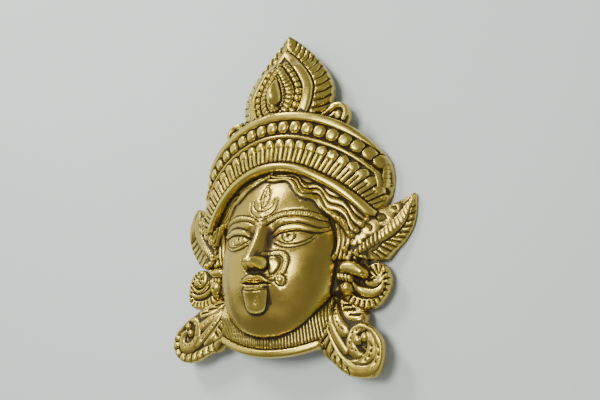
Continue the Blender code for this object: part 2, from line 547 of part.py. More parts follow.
def barbs(front, side):
    """slots that climb outward over the finial's border and widen to its edge"""
    outer = nested(39.8)
    outer = outer[np.argmax(outer[:, 0]):]
    starts, _ = spaced(nested(30.6), 5.6, 4.0)
    for x, y in starts:
        top = y + 5.0 + 4.5 * ramp(180, 225, y)
        if y < 163 or top > FINIAL_TIP - 6:
            continue
        end = (np.interp(top, outer[:, 1], outer[:, 0]), top)
        bend = (0.5 * (x + end[0]) + 1.0, 0.5 * (y + top) - 0.8)
        front.groove([(x, y), bend, end], [0.9, 1.3, 1.7], 1.6, side)


def hair_surface(x, y):
    reach = x / np.where(x > 0, 78, 66)
    return np.maximum(24.5 * np.sqrt(np.clip(1 - reach ** 2, 0, 1)), face_surface(x, y) + 1)


def hair(front):
    """wavy locks from the parting to the ears, spread between the brow and the crown"""
    for side in (RIGHT, LEFT):
        temple = [(45, 103), (54, 100), (60, 94), (61, 86), (58.5, 77), (55, 71), (47, 71)]
        front.plate(np.array(mirrored(temple, side)), lambda x, y: 12.5 + 4.5 * ramp(84, 104, y), 0.8)
        for near, far in ((49.6, 49.4), (52.8, 52.6), (56.4, 55.8)):
            lock = [(near - 3, 104), (near + 0.4, 98), (far + 1.6, 90), (far + 1.2, 82), (far - 1.2, 73)]
            front.cord(lock, [1.5, 1.9, 2.0, 1.8, 1.0], 2.2, side)
        front.settle()
        edge = smooth_curve(HAIR_EDGE[side], steps=5)
        rim = crown_arc(RIM_INNER + 1.0, -side, side * (64 if side == RIGHT else 67), len(edge)) * (side, 1)
        front.plate(np.vstack([edge, rim[::-1]]) * (side, 1), lambda x, y: hair_surface(x, y) - 0.9, 0.8)
        gap = np.hypot(*(rim - edge).T)
        run = np.linspace(0, 1, len(edge))
        count = 4
        for index in range(count):
            share = (index + 0.45) / count
            wave = 0.11 * np.sin(run * 7.5 * math.pi + 0.6 + 0.5 * index) * (1 - 0.35 * run) * (index > 0)
            lock = edge + (rim - edge) * (share + wave)[:, None]
            widths = np.clip(gap / count * 0.7, 1.1, 2.6)
            front.cord(lock[::2], widths[::2], 2.4 - 0.25 * index, side, True, 2.2)
        front.settle()


def collar_surface(x, y):
    fall = (COLLAR_MIDDLE - COLLAR_CORNER) * (x / COLLAR_HALF_WIDTH) ** 2
    return COLLAR_MIDDLE - fall - 8 * ramp(32, 55, y)


def collar(front):
    """a band under the chin with a plain rim below"""
    wide = COLLAR_HALF_WIDTH
    x = np.linspace(-wide, wide, 17)
    bottom = np.column_stack([x, COLLAR_BOTTOM + COLLAR_CURVE * (x / wide) ** 2])
    upper = [(wide + 5, 35), (wide + 5, 60), (-wide - 5, 60), (-wide - 5, 35)]
    front.plate(np.vstack([bottom, upper]), collar_surface, 1.2)
    front.cord(bottom + (0, 2.7), 2.7, 1.7, curved=False)
    front.settle()


def leaf_surface(x, y):
    return LEAF_INNER - (LEAF_INNER - LEAF_OUTER) * ramp(58, 100, np.abs(x))


def leaf(front, side):
    """a leaf behind the ear: a midrib, barbs below it and round scallops above"""
    front.plate(smooth_curve(mirrored(LEAF_OUTLINE[side], side), closed=True),
                lambda x, y: leaf_surface(x, y) - 0.4, 1.0)
    marks = RIGHT_LEAF if side == RIGHT else LEFT_LEAF
    rib, widths = marks["rib"]
    front.cord(rib, widths, 2.0, side, power=3.2)
    for x, y, radius in marks["scallops"]:
        front.dome(side * x, y, radius, radius, 1.7, power=2.6)
    for start, end in marks["barbs"]:
        front.cord([start, end], [1.6, 2.2], 1.4, side)
    front.settle()


def ear(front, side):
    """a barrel cap, a short band, a drop and a volute with a disc and a fringe"""
    base = [(42, 48), (44, 97), (60, 92), (68, 78), (68, 60), (62, 49)]
    front.plate(np.array(mirrored(base, side)), lambda x, y: VOLUTE_TOP + 3.8 * ramp(67, 58, np.abs(x)), 1.0)
    front.plate(smooth_curve(mirrored(VOLUTE_OUTLINE[side], side), closed=True), VOLUTE_TOP, 1.4)
    marks = RIGHT_EAR if side == RIGHT else LEFT_EAR
    x, y, across, along = marks["disc"]
    front.dome(side * x, y, across, along, 2.4, power=3.2)
    for points, widths in marks["crescents"]:
        front.cord(points, widths, 2.5, side)
    points, widths = marks["fringe"]
    front.cord(points, widths, 2.3, side, power=3)
    front.cord(marks["band"], 2.3, 3.0, side)
    x, y, across, along = marks["drop"]
    front.dome(side * x, y, across, along, 3.6)
    front.settle()
    front.plate(smooth_curve(mirrored(marks["cap"], side), closed=True), CAP_TOP, 3.6)


def scroll_surface(x, y):
    return SCROLL_TOP - SCROLL_TUCK * ramp(30, 50, y)


def scroll(front, side):
    """a lower scroll: a border that winds to a swirl with two balls, and long lobes beside it"""
    front.plate(smooth_curve(mirrored(SCROLL_OUTLINE[side], side), closed=True), scroll_surface, 1.2)
    marks = RIGHT_SCROLL if side == RIGHT else LEFT_SCROLL
    points, widths = marks["border"]
    front.cord(points, widths, 2.4, side, power=3)
    for points, widths, rise in marks["bands"]:
        front.cord(points, 1.2 * np.array(widths), rise, side, power=3)
    for x, y, radius in marks["balls"]:
        front.dome(side * x, y, radius, radius, 3.2)
    front.settle()


def eroded(height, edge, wall):
    """the highest surface that stays a wall's thickness behind the front"""
    solid = np.where(edge < 0, height, np.inf)
    back = np.full(height.shape, np.inf)
    reach = int(wall / CELL)
    for down in range(-reach, reach + 1):
        for across in range(-reach, reach + 1):
            away = math.hypot(down, across) * CELL
            if away <= wall:
                shifted = np.roll(solid, (down, across), (0, 1))
                back = np.minimum(back, shifted - math.sqrt(wall ** 2 - away ** 2))
    return back


def near_outside(edge, width):
    """true within a width of the outside of the outline"""
    outside = edge >= 0
    near = np.zeros(edge.shape, bool)
    reach = int(width / CELL)
    for down in range(-reach, reach + 1):
        for across in range(-reach, reach + 1):
            if math.hypot(down, across) * CELL <= width:
                near |= np.roll(outside, (down, across), (0, 1))
    return near


def carve():
    """front and back heights over the drawing, in drawing units"""
    front = Front()
    finial(front)
    for side in (RIGHT, LEFT):
        leaf(front, side)
        scroll(front, side)
        ear(front, side)
    collar(front)
    face(front)
    hair(front)
    crown(front)
    front.z = front.closed()
    back = eroded(front.z, front.edge, WALL / UNIT)
    skirt = near_outside(front.edge, SKIRT) & (front.y > SKIRT_LOW) & (front.y < SKIRT_HIGH)
    skirt &= np.abs(front.x) > SKIRT_INNER
    back = np.where(skirt, 0, np.clip(back, 0, None))
    return front, back


def sample(grid, front, x, y):
    """value of a grid between its points"""
    column = np.clip((x - front.x[0, 0]) / CELL, 0, grid.shape[1] - 1.001)
    row = np.clip((y - front.y[0, 0]) / CELL, 0, grid.shape[0] - 1.001)
    i, j = column.astype(int), row.astype(int)
    s, t = column - i, row - j
    return ((grid[j, i] * (1 - s) + grid[j, i + 1] * s) * (1 - t)
            + (grid[j + 1, i] * (1 - s) + grid[j + 1, i + 1] * s) * t)


def shell_mesh():
    """a grid cut to the outline, doubled into a front and a back sheet joined by the edge"""
    front, back = carve()
    rows, columns = front.x.shape
    bm = bmesh.new()
    bmesh.ops.create_grid(bm, x_segments=columns - 1, y_segments=rows - 1, size=0.5)
    bm.verts.ensure_lookup_table()
    unit = np.array([v.co[:2] for v in bm.verts])
    x = front.x[0, 0] + (unit[:, 0] + 0.5) * (front.x[0, -1] - front.x[0, 0])
    y = front.y[0, 0] + (unit[:, 1] + 0.5) * (front.y[-1, 0] - front.y[0, 0])
    edge = sample(front.edge, front, x, y)
    for vertex, vx, vy in zip(bm.verts, x, y):
        vertex.co = (vx, vy, 0)
    outside = [f for f in bm.faces if max(edge[v.index] for v in f.verts) > 0.35 * CELL]
    bmesh.ops.delete(bm, geom=outside, context="FACES")
    loose_corners(bm)
    slope_y, slope_x = np.gradient(front.edge, CELL)
    for vertex in [v for v in bm.verts if v.is_boundary]:
        for _ in range(3):
            at = np.array(vertex.co[:2])
            gap, gx, gy = (float(sample(g, front, at[:1], at[1:])[0])
                           for g in (front.edge, slope_x, slope_y))
            size = max(math.hypot(gx, gy), 0.3)
            vertex.co.x -= gap * gx / size ** 2
            vertex.co.y -= gap * gy / size ** 2
    sheet = list(bm.faces)
    extruded = bmesh.ops.extrude_face_region(bm, geom=sheet)["geom"]
    top = [v for v in extruded if isinstance(v, bmesh.types.BMVert)]
    raised = set(top)
    under = [v for v in bm.verts if v not in raised]
    for vertices, grid in ((top, front.z), (under, back)):
        at = np.array([v.co[:2] for v in vertices])
        for vertex, height in zip(vertices, sample(grid, front, at[:, 0], at[:, 1])):
            vertex.co.z = height
    bmesh.ops.recalc_face_normals(bm, faces=bm.faces)
    mesh = bpy.data.meshes.new("mask")
    bm.to_mesh(mesh)
    bm.free()
    return mesh


def loose_corners(bm):
    """removes faces that hang on by a corner only, so that the edge is one clean loop"""
    while True:
        bad = [v for v in bm.verts if sum(e.is_boundary for e in v.link_edges) > 2]
        if not bad:
            break
        faces = {f for v in bad for f in v.link_faces}
        bmesh.ops.delete(bm, geom=list(faces), context="FACES")
    lone = [v for v in bm.verts if not v.link_faces]
    bmesh.ops.delete(bm, geom=lone, context="VERTS")


def brass():
    material = bpy.data.materials.new("brass")
    material.use_nodes = True
    shader = material.node_tree.nodes["Principled BSDF"]
    shader.inputs["Base Color"].default_value = BRASS
    shader.inputs["Metallic"].default_value = 1.0
    shader.inputs["Roughness"].default_value = BRASS_ROUGHNESS
    return material


def main():
    for thing in list(bpy.data.objects):
        bpy.data.objects.remove(thing, do_unlink=True)
    mesh = shell_mesh()
    mask = bpy.data.objects.new("mask", mesh)
    collection = bpy.data.collections.new("kali mask")
    bpy.context.scene.collection.children.link(collection)
    collection.objects.link(mask)
    mask.data.materials.append(brass())
    points = np.empty(3 * len(mesh.vertices))
    mesh.vertices.foreach_get("co", points)
    points = points.reshape(-1, 3)
    points -= (points.min(0) + points.max(0)) / 2 * (1, 1, 0)
    points *= UNIT
    mesh.vertices.foreach_set("co", points.ravel())
    fewer = mask.modifiers.new("facets", "DECIMATE")
    faces = sum(len(p.vertices) - 2 for p in mesh.polygons)
    fewer.ratio = min(1.0, TRIANGLES / faces)
    fewer.use_collapse_triangulate = True


main()
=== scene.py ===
"""Kali mask in cast brass, lying face up on a pale floor.

The casting's front is a height over a flat drawing, worked out as whole arrays: x to the right,
y to the crown and z out of the face, in units of a 250th of the mask's height. The drawing is
carried into the CAD part's box, closed with a back sheet a wall's thickness behind the front,
and dressed in worn brass with dark patina and painted shade in its hollows and painted highlights
on its ridges.
"""
import math

import bpy
import numpy as np
from mathutils import Matrix, Vector

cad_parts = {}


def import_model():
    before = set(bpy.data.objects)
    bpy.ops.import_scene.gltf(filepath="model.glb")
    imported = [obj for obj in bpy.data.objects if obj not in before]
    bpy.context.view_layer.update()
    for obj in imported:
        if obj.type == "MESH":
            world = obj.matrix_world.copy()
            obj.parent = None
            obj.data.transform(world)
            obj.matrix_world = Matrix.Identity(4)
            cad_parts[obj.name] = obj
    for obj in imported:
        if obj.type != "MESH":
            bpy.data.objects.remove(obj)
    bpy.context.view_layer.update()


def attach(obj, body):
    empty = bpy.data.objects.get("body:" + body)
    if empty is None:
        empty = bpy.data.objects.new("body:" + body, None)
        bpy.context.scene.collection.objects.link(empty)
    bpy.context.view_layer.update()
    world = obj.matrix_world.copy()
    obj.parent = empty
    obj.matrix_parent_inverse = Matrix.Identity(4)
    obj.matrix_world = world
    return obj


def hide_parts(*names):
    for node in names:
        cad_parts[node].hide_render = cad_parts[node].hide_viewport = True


UNIT = 0.001                # metres to a unit of the drawing
DRAWING_MIDDLE = (0.8, 124.5)
WALL = 4.0                  # thickness of the cast metal, units
CELL = 0.45
LEFT_END, RIGHT_END, LOWER_END, UPPER_END = -106.0, 106.0, -3.0, 253.0      # of the grid
FAR = 50.0
TRIANGLES = 188000
HOLLOW_RADII = (0.8, 1.8, 5.0)      # of the bells that tell hollows and ridges from the rest

FACE_HALF_WIDTH, FACE_HALF_HEIGHT, FACE_MIDDLE = 50.0, 56.0, 77.0
FACE_TOP, FACE_SIDE, FACE_ROUND = 34.5, 5.0, 2.2
CROWN_CENTRE, CROWN_RISE, CROWN_SIDE = 66.0, 25.0, 2.5
RIM_INNER, RIM_OUTER = 69.0, 75.5
PETAL_INNER, PETAL_OUTER = 76.0, 91.5
CORD_RADIUS, CORD_HALF_WIDTH, CORD_RISE = 94.5, 1.75, 2.0
BEAD_RADIUS, BEAD_ACROSS, BEAD_ALONG, BEAD_RISE = 101.5, 4.45, 4.6, 3.2
TOP_RIM_INNER, TOP_RIM_OUTER = 106.5, 113.5
PITCH = 5.6                 # degrees from bead to bead, and from petal to petal
BEAD_COUNT, PETAL_COUNT = 21, 23
PETAL_OFFSET = 0.125        # share of a pitch that the petals lie left of the beads
FLARE_START = 28.0          # degrees to the right, from where the crown's end flares
FINIAL_WIDEST, FINIAL_HALF_WIDTH, FINIAL_TIP = 197.0, 40.5, 249.5
FINIAL_FOOT, FINIAL_EDGE, FINIAL_RISE, FINIAL_POWER = 150.0, 15.0, 12.0, 1.55
GEM_MIDDLE, GEM_HALF_WIDTH, GEM_ABOVE, GEM_BELOW, GEM_RISE = 191.5, 6.4, 16.0, 6.8, 5.2
TONGUE_MIDDLE, TONGUE_LENGTH, TONGUE_STAND, LIP_LINE = 45.0, 9.6, 5.6, 52.2
LEAF_INNER, LEAF_OUTER = 13.5, 4.0
EAR_TOP, EAR_CAP_TOP, SCROLL_TOP, SCROLL_TUCK = 8.8, 17.2, 15.1, 8.0
COLLAR_MIDDLE, COLLAR_CORNER = 22.0, 17.0
COLLAR_BOTTOM, COLLAR_CURVE, COLLAR_HALF_WIDTH, PLEAT_CENTRE = 7.6, 8.0, 41.0, 190.0
LOCKS = 4                   # strands of hair beside each other
SKIRT, SKIRT_LOW, SKIRT_HIGH, SKIRT_INNER = 3.5, 73.0, 147.0, 56.0

RIGHT, LEFT = 1, -1
CROWN_HALF_WIDTH = {RIGHT: 83.5, LEFT: 80.5}
LEAF_OUTLINE = {
    RIGHT: [(58, 84), (61, 76), (70, 72), (80.6, 72.2), (86.6, 78.2), (92.2, 84), (96.8, 91),
        (99.4, 98.4), (100.2, 106.6), (99.6, 115), (94, 112.8), (87.6, 109.4), (82, 107), (77, 105),
        (71.4, 100.4), (66, 96.4), (61.4, 91)],
    LEFT: [(56, 85), (58, 75), (67, 71), (78, 73), (92, 85), (98.5, 98), (98.5, 110), (92, 121),
        (83, 119), (78, 114.5), (72, 108), (67, 100), (60, 93)]}
SCROLL_OUTLINE = {
    RIGHT: [(40.5, 16), (50, 7), (60, 0.8), (68, -0.5), (78, 0.3), (82.5, 4.5), (85, 13), (84, 22),
        (78.5, 29), (72.5, 32), (71.5, 37), (68, 40.5), (58, 46), (48, 50), (42, 38)],
    LEFT: [(41, 14.5), (55, 7.5), (65, 2.5), (76, 0.5), (85, 3.5), (91, 11), (90.5, 20), (85, 26),
        (76, 34), (70, 40), (58, 45), (48, 49), (42, 38)]}
VOLUTE_OUTLINE = {
    RIGHT: [(52, 62), (53, 50), (60, 43), (69, 40.5), (78, 43.5), (84.5, 52), (85.5, 61),
        (81.5, 68.5), (75, 70.5), (68, 67.5), (60, 69)],
    LEFT: [(52, 62), (53, 50), (60, 43.5), (69, 40.5), (79, 40.5), (85, 45), (87, 53), (86.5, 61),
        (83.5, 67), (77, 70.5), (70, 69), (61, 69)]}


def smooth_curve(points, closed=False, steps=6):
    """points on a Catmull-Rom curve that passes through the given points"""
    given = np.array(points, float)
    if closed:
        before, start = np.roll(given, 1, 0), given
        end, after = np.roll(given, -1, 0), np.roll(given, -2, 0)
    else:
        ends = np.vstack([2 * given[0] - given[1], given, 2 * given[-1] - given[-2]])
        before, start, end, after = ends[:-3], ends[1:-2], ends[2:-1], ends[3:]
    before, start, end, after = (a[:, None, :] for a in (before, start, end, after))
    t = (np.arange(steps) / steps)[None, :, None]
    curve = 0.5 * (2 * start + (end - before) * t
                   + (2 * before - 5 * start + 4 * end - after) * t ** 2
                   + (3 * start - before - 3 * end + after) * t ** 3)
    curve = curve.reshape(-1, 2)
    return curve if closed else np.vstack([curve, given[-1]])


def mirrored(points, side):
    return [(side * x, y) for x, y in points]


def closed_curve(points, side):
    """a smooth closed outline, on the left a mirrored one"""
    return smooth_curve(mirrored(points, side), closed=True)


def arc(x, y, across, along, start=0, end=360, count=13):
    """points on an oval about x and y, from one angle in degrees to another"""
    turn = np.radians(np.linspace(start, end, count))
    return np.column_stack([x + across * np.cos(turn), y + along * np.sin(turn)])


def turned(x, y, turn):
    """coordinates on axes that are turned by an angle in degrees"""
    cos, sin = math.cos(math.radians(turn)), math.sin(math.radians(turn))
    return x * cos + y * sin, y * cos - x * sin


def lengths_along(path):
    """length of the path up to each of its points"""
    return np.concatenate([[0], np.cumsum(np.hypot(*np.diff(path, axis=0).T))])


def distance(path, x, y):
    """distance from a path, and the share of the path's length at the nearest point"""
    path = np.asarray(path, float)
    total = np.hypot(*np.diff(path, axis=0).T).sum()
    nearest = np.full(x.shape, np.inf)
    share = np.zeros(x.shape)
    passed = 0.0
    for (ax, ay), (bx, by) in zip(path[:-1], path[1:]):
        length = math.hypot(bx - ax, by - ay)
        if length < 1e-9:
            continue
        ux, uy = (bx - ax) / length, (by - ay) / length
        along = np.clip((x - ax) * ux + (y - ay) * uy, 0, length)
        away = np.hypot(x - ax - along * ux, y - ay - along * uy)
        share = np.where(away < nearest, (passed + along) / total, share)
        nearest = np.minimum(nearest, away)
        passed += length
    return nearest, share


def inside(outline, x, y):
    """true where a level line to the right crosses the outline an odd number of times"""
    odd = np.zeros(x.shape, bool)
    for (ax, ay), (bx, by) in zip(outline, np.roll(outline, -1, 0)):
        if ay != by:
            odd ^= ((ay > y) != (by > y)) & (x < (bx - ax) * (y - ay) / (by - ay) + ax)
    return odd


def signed_distance(outline, x, y):
    """distance from a closed outline, negative inside it"""
    away = distance(np.vstack([outline, outline[:1]]), x, y)[0]
    return np.where(inside(outline, x, y), -away, away)


def ramp(low, high, value):
    """0 below low, 1 above high and a smooth rise between"""
    t = np.clip((value - low) / (high - low), 0, 1)
    return t * t * (3 - 2 * t)


def round_off(depth, radius):
    """how far a rounded edge lies below its plate, at a depth inside the outline"""
    reach = np.clip(radius - depth, 0, radius)
    return radius - np.sqrt(radius ** 2 - reach ** 2)


def spaced(path, pitch, start=0.0):
    """points at even steps along a path, with the path's direction at each"""
    path = np.asarray(path, float)
    length = lengths_along(path)
    at = np.arange(start, length[-1], pitch)
    behind, points, ahead = (
        np.column_stack([np.interp(at + shift, length, path[:, k]) for k in (0, 1)])
        for shift in (-0.4, 0, 0.4))
    way = ahead - behind
    return points, way / np.maximum(np.hypot(*way.T)[:, None], 1e-6)


class Front:
    """height of the mask's front over the drawing, and the signed distance from its outline"""

    def __init__(self):
        self.x, self.y = np.meshgrid(np.arange(LEFT_END, RIGHT_END + CELL / 2, CELL),
                                     np.arange(LOWER_END, UPPER_END, CELL))
        self.z = np.full(self.x.shape, -FAR)
        self.layer = np.zeros(self.x.shape)
        self.around = np.zeros(self.x.shape)
        self.edge = np.full(self.x.shape, FAR)

    def near(self, points, margin):
        """the part of the grid around some points"""
        low = np.min(points, axis=0) - margin - CELL
        high = np.max(points, axis=0) + margin + CELL
        columns = np.flatnonzero((self.x[0] > low[0]) & (self.x[0] < high[0]))
        rows = np.flatnonzero((self.y[:, 0] > low[1]) & (self.y[:, 0] < high[1]))
        return np.s_[rows[0]:rows[-1] + 1, columns[0]:columns[-1] + 1]

    def plate(self, outline, top, rounding=2.0):
        """adds a plate with a rounded edge; top is its height, or gives it from x and y"""
        part = self.near(outline, 6)
        x, y = self.x[part], self.y[part]
        gap = signed_distance(outline, x, y)
        height = (top(x, y) if callable(top) else top) - round_off(-gap, rounding)
        cover = np.clip(0.5 - gap / CELL, 0, 1)
        below = self.z[part]
        raised = below + (np.maximum(height, below) - below) * cover
        self.z[part] = np.where(below > -FAR / 2, raised, np.where(gap < 0, height, -FAR))
        self.around[part] = np.where(gap < self.edge[part], height, self.around[part])
        self.edge[part] = np.minimum(self.edge[part], gap)

    def closed(self):
        """height inside the outline, carried on just beyond it"""
        return np.where(self.edge < 0, self.z, self.around)

    def reach(self, points, widths, side=RIGHT, curved=True):
        """grid part near a path, and distance from the path as a share of its half width there"""
        given = np.array(mirrored(points, side), float)
        path = smooth_curve(given) if curved and len(given) > 2 else given
        widths = np.atleast_1d(np.asarray(widths, float))
        part = self.near(path, widths.max())
        away, share = distance(path, self.x[part], self.y[part])
        if len(widths) == 1:
            return part, away / widths[0]
        length = lengths_along(path)
        knots = np.linspace(0, len(path) - 1, len(widths))
        at = np.interp(knots, np.arange(len(path)), length / length[-1])
        return part, away / np.interp(share, at, widths)

    def cord(self, points, widths, rise, side=RIGHT, curved=True, power=2.6):
        """a rounded cord in the layer; where cords overlap the higher one stays"""
        part, reach = self.reach(points, widths, side, curved)
        height = rise * np.sqrt(np.clip(1 - reach ** power, 0, 1))
        self.layer[part] = np.maximum(self.layer[part], height)

    def dome(self, x, y, across, along, rise, turn=0.0, power=2.0, flat=1.0):
        """a dome in the layer, turned by an angle; flat over 1 evens its top"""
        part = self.near([(x, y)], max(across, along) * 1.2)
        u, v = turned(self.x[part] - x, self.y[part] - y, turn)
        reach = np.abs(u / across) ** power + np.abs(v / along) ** power
        height = rise * np.sqrt(np.clip(1 - reach ** flat, 0, 1))
        self.layer[part] = np.maximum(self.layer[part], height)

    def settle(self):
        """adds the layer to the surface and starts a new one"""
        self.z += self.layer
        self.layer[:] = 0

    def groove(self, points, widths, depth, side=RIGHT, curved=True):
        """cuts a soft groove along a path"""
        part, reach = self.reach(points, widths, side, curved)
        self.z[part] -= depth * ramp(1, 0.15, reach)

    def pits(self, points, radius, depth, side=RIGHT):
        for x, y in points:
            part = self.near([(side * x, y)], radius)
            away = np.hypot(self.x[part] - side * x, self.y[part] - y)
            self.z[part] -= depth * ramp(radius, 0.2 * radius, away)

    def hatch(self, path, pitch, start, right, left, widths, depth, side=RIGHT):
        """grooves across a path, each from so far on its right to so far on its left"""
        for point, (along, up) in zip(*spaced(path, pitch, start)):
            across = np.array([-up, along])
            self.groove([point - right * across, point + left * across], widths, depth, side)

    def swell(self, x, y, across, along, rise):
        """lifts the surface in a soft bell shape with two widths"""
        reach = ((self.x - x) / across) ** 2 + ((self.y - y) / along) ** 2
        self.z += rise * np.exp(-reach / 2)


def face_surface(x, y):
    """an oval dome whose sides lie back and whose chin and brow stay forward"""
    reach = np.abs(y - FACE_MIDDLE) / (FACE_HALF_HEIGHT + 6)
    middle = 12 + (FACE_TOP - 12) * np.clip(1 - reach ** 2.4, 0, 1) ** (1 / 2.4)
    side = FACE_SIDE + 22 * reach ** 2
    across = np.abs(x / FACE_HALF_WIDTH) ** FACE_ROUND
    along = np.abs((y - FACE_MIDDLE) / FACE_HALF_HEIGHT) ** FACE_ROUND
    share = across / np.clip(1 - along, 1e-3, 1)
    return side + (middle - side) * np.clip(1 - share, 0, 1) ** (1 / 2.1)


def face(front):
    """the oval dome with nose, eyes, brows, mouth, tongue, nose ring and forehead mark"""
    angles = np.radians(np.arange(0, 360, 4))
    power = 2 / FACE_ROUND
    outline = np.column_stack([
        FACE_HALF_WIDTH * np.sign(np.cos(angles)) * np.abs(np.cos(angles)) ** power,
        FACE_MIDDLE + FACE_HALF_HEIGHT * np.sign(np.sin(angles)) * np.abs(np.sin(angles)) ** power])
    front.plate(outline, face_surface, 0.5)
    for side in (RIGHT, LEFT):
        front.swell(side * 25, 62, 12, 12, 1.8)
    front.swell(0, 31, 11, 6, 1.8)
    nose(front)
    for side in (RIGHT, LEFT):
        eye(front, side)
    mouth(front)
    nose_ring(front)
    forehead(front)


def nose(front):
    """a ridge whose rise grows down to the tip, and a wing with a nostril on each side"""
    down = np.clip((98 - front.y) / 28, 0, 1)
    half_width = 3.3 + 2.9 * down ** 1.5
    rise = (2.5 + 9.5 * down ** 1.4) * ramp(110, 94, front.y) * ramp(62.5, 69, front.y)
    front.z += rise * np.exp(-0.5 * (np.abs(front.x) / half_width) ** 2.4)
    for side in (RIGHT, LEFT):
        front.dome(side * 6.3, 68.2, 3.9, 4.3, 3.2)
    front.settle()
    for side in (RIGHT, LEFT):
        front.groove([(3, 63.6), (6.5, 62.9), (9.6, 65)], [0.8, 1.1, 0.7], 1.0, side)
        front.groove([(9.6, 65), (11, 69), (9.4, 73)], [0.9, 1.2, 0.4], 0.9, side)


def eye(front, side):
    """socket, eyeball between two lids, iris and pupil, lid creases and a hatched brow"""
    front.swell(side * 23, 88, 14, 6.5, -2.0)
    front.swell(side * 8.5, 87.5, 3.2, 6, -1.8)
    upper = [(9.7, 86), (15.2, 88.7), (22.7, 90.1), (29, 90.4), (33.7, 89.5), (38, 88.8),
             (42, 89.7), (45.6, 91.7)]
    lower = [(11.5, 85.6), (13.6, 84.2), (18.7, 82.2), (24.7, 81.3), (30.6, 82.1), (35.5, 85.2),
             (38.5, 88.3)]
    crease = [(7.9, 88.7), (12, 92.5), (18.9, 94.8), (26.7, 95.6), (32.8, 94.7), (38.3, 93),
              (42.2, 92.9), (45.1, 93.9)]
    under = [(10.9, 82), (17.5, 79.5), (24.8, 78.9), (30.7, 80.3), (35.7, 83.1), (39.3, 86.4)]
    lid = [(10.5, 88.2), (15.5, 91), (22.7, 92.6), (29, 92.8), (35, 91.5), (41, 91)]
    front.cord(lid, [0.6, 1.9, 2.5, 2.5, 1.7, 0.7], 1.5, side)
    front.cord([(12.5, 83), (18, 80.7), (24.8, 79.9), (30.6, 81.2), (35.8, 84)],
               [0.6, 1.1, 1.3, 1.1, 0.6], 0.8, side)
    front.dome(side * 24, 85.6, 12.6, 5.0, 1.1, side * 4, 2.2)
    front.settle()
    front.groove(upper, [0.6, 0.95, 0.95, 0.9, 0.85, 0.8, 0.6, 0.3], 1.1, side)
    front.groove(lower, [0.4, 0.7, 0.75, 0.7, 0.7, 0.6, 0.4], 0.8, side)
    front.groove(crease, [0.5, 0.9, 0.95, 0.9, 0.8, 0.7, 0.6, 0.3], 0.9, side)
    front.groove(under, [0.4, 0.7, 0.75, 0.75, 0.65, 0.35], 0.65, side)
    front.groove(arc(22.2, 87.0, 4.6, 4.4, 165, 375, 15), 0.7, 0.7, side)
    front.pits([(21.9, 87.4)], 1.9, 0.9, side)
    low = smooth_curve([(4.9, 94.9), (12.1, 98.5), (19.6, 100.2), (28.1, 100.3), (35.7, 99.4),
                        (40.5, 97.6), (43.6, 97.7)])
    high = smooth_curve([(0.9, 97.3), (7.8, 101.2), (16.4, 103.7), (25.7, 104.4), (34.5, 103.8),
                         (40.8, 102), (43.5, 100.8)])
    middle = (low + high) / 2
    front.cord(middle, 1.9, 0.9, side, False)
    front.settle()
    front.groove(low, 0.65, 0.85, side, False)
    front.groove(high, 0.6, 0.7, side, False)
    front.hatch(middle, 1.55, 3.0, 1.35, 1.35, 0.5, 0.5, side)


def mouth(front):
    """two lips, and a tongue that hangs from them like a short half round tile"""
    front.swell(0, 56.5, 11, 7, 2.4)
    front.cord([(-11.2, 55.8), (-7, 58.4), (-3, 59.6), (0, 58.9), (3, 59.6), (7, 58.4),
                (11.8, 55.8)], [0.6, 1.6, 2.0, 1.9, 2.0, 1.6, 0.6], 1.6)
    front.cord([(-9.5, 54.3), (-5, 52.6), (0, 52.2), (5, 52.6), (9.5, 54.2)],
               [0.7, 1.8, 2.2, 1.8, 0.7], 2.2)
    front.settle()
    front.groove([(-11.5, 55.4), (-6, 55.4), (0, 54.9), (6, 55.4), (12.3, 55.2)],
                 [0.7, 0.9, 1.0, 0.9, 0.7], 1.9)
    front.groove([(-1.2, 62.5), (-0.9, 60.6)], 0.9, 0.4)
    x, y = front.x, front.y
    half_width = 7.9 + 2.2 * ramp(35, 50, y)
    side = np.abs(x / half_width) ** 2.0
    down = np.abs((y - TONGUE_MIDDLE) / TONGUE_LENGTH) ** 5
    body = np.clip(1 - side - np.where(y < TONGUE_MIDDLE, down, 0), 0, 1) ** 0.5
    stand = TONGUE_STAND * body
    grain = 0.14 * np.cos(x * 3.6 + y) * np.cos(y * 3.4 - 0.8 * x)
    stand = np.where(y < LIP_LINE, stand + np.where(stand > 2.5, grain, 0), 0)
    front.z += stand * ramp(LIP_LINE + 1.0, 50.5, y)
    front.groove([(-9.4, 51.3), (-4, 50.3), (4, 50.3), (9.4, 51.3)], [0.7, 0.9, 0.9, 0.7], 1.1)


def nose_ring(front):
    """a flat hoop with a dotted inner hoop, a shield in it and a round drop at its lower end"""
    hoop = [(7.7, 74.2), (13.6, 75.1), (19.3, 74.8), (22.4, 71.8), (22.6, 67.4), (21.2, 62.9),
            (18.4, 60.6)]
    front.cord(hoop, [1.2, 1.5, 1.7, 1.7, 1.7, 1.6, 1.2], 0.9)
    shield = [(10.6, 71.2), (17.8, 71.6), (18.6, 66.5), (15.6, 61.8), (12.5, 61.2), (10.4, 64)]
    front.cord([(13.6, 70.2), (14.8, 67), (13.2, 63.2)], [3.0, 3.4, 2.0], 0.9, power=4)
    front.dome(19.7, 57.2, 3.4, 3.4, 1.2)
    front.cord([(11.5, 58), (15, 58.6), (18, 59.8)], [0.6, 1.0, 1.1], 0.9)
    front.settle()
    front.groove(shield + shield[:1], 0.55, 0.6)
    front.groove([(7.9, 76.2), (13.6, 76.9), (20.2, 76.5), (24.2, 72.8), (24.5, 67.2),
                  (22.8, 61.6)], 0.6, 0.6)
    front.pits(spaced(smooth_curve(hoop), 2.1, 2.0)[0], 0.6, 0.7)
    for radius, depth in ((3.7, 0.6), (2.0, 0.5)):
        front.groove(arc(19.7, 57.2, radius, radius), 0.5, depth)


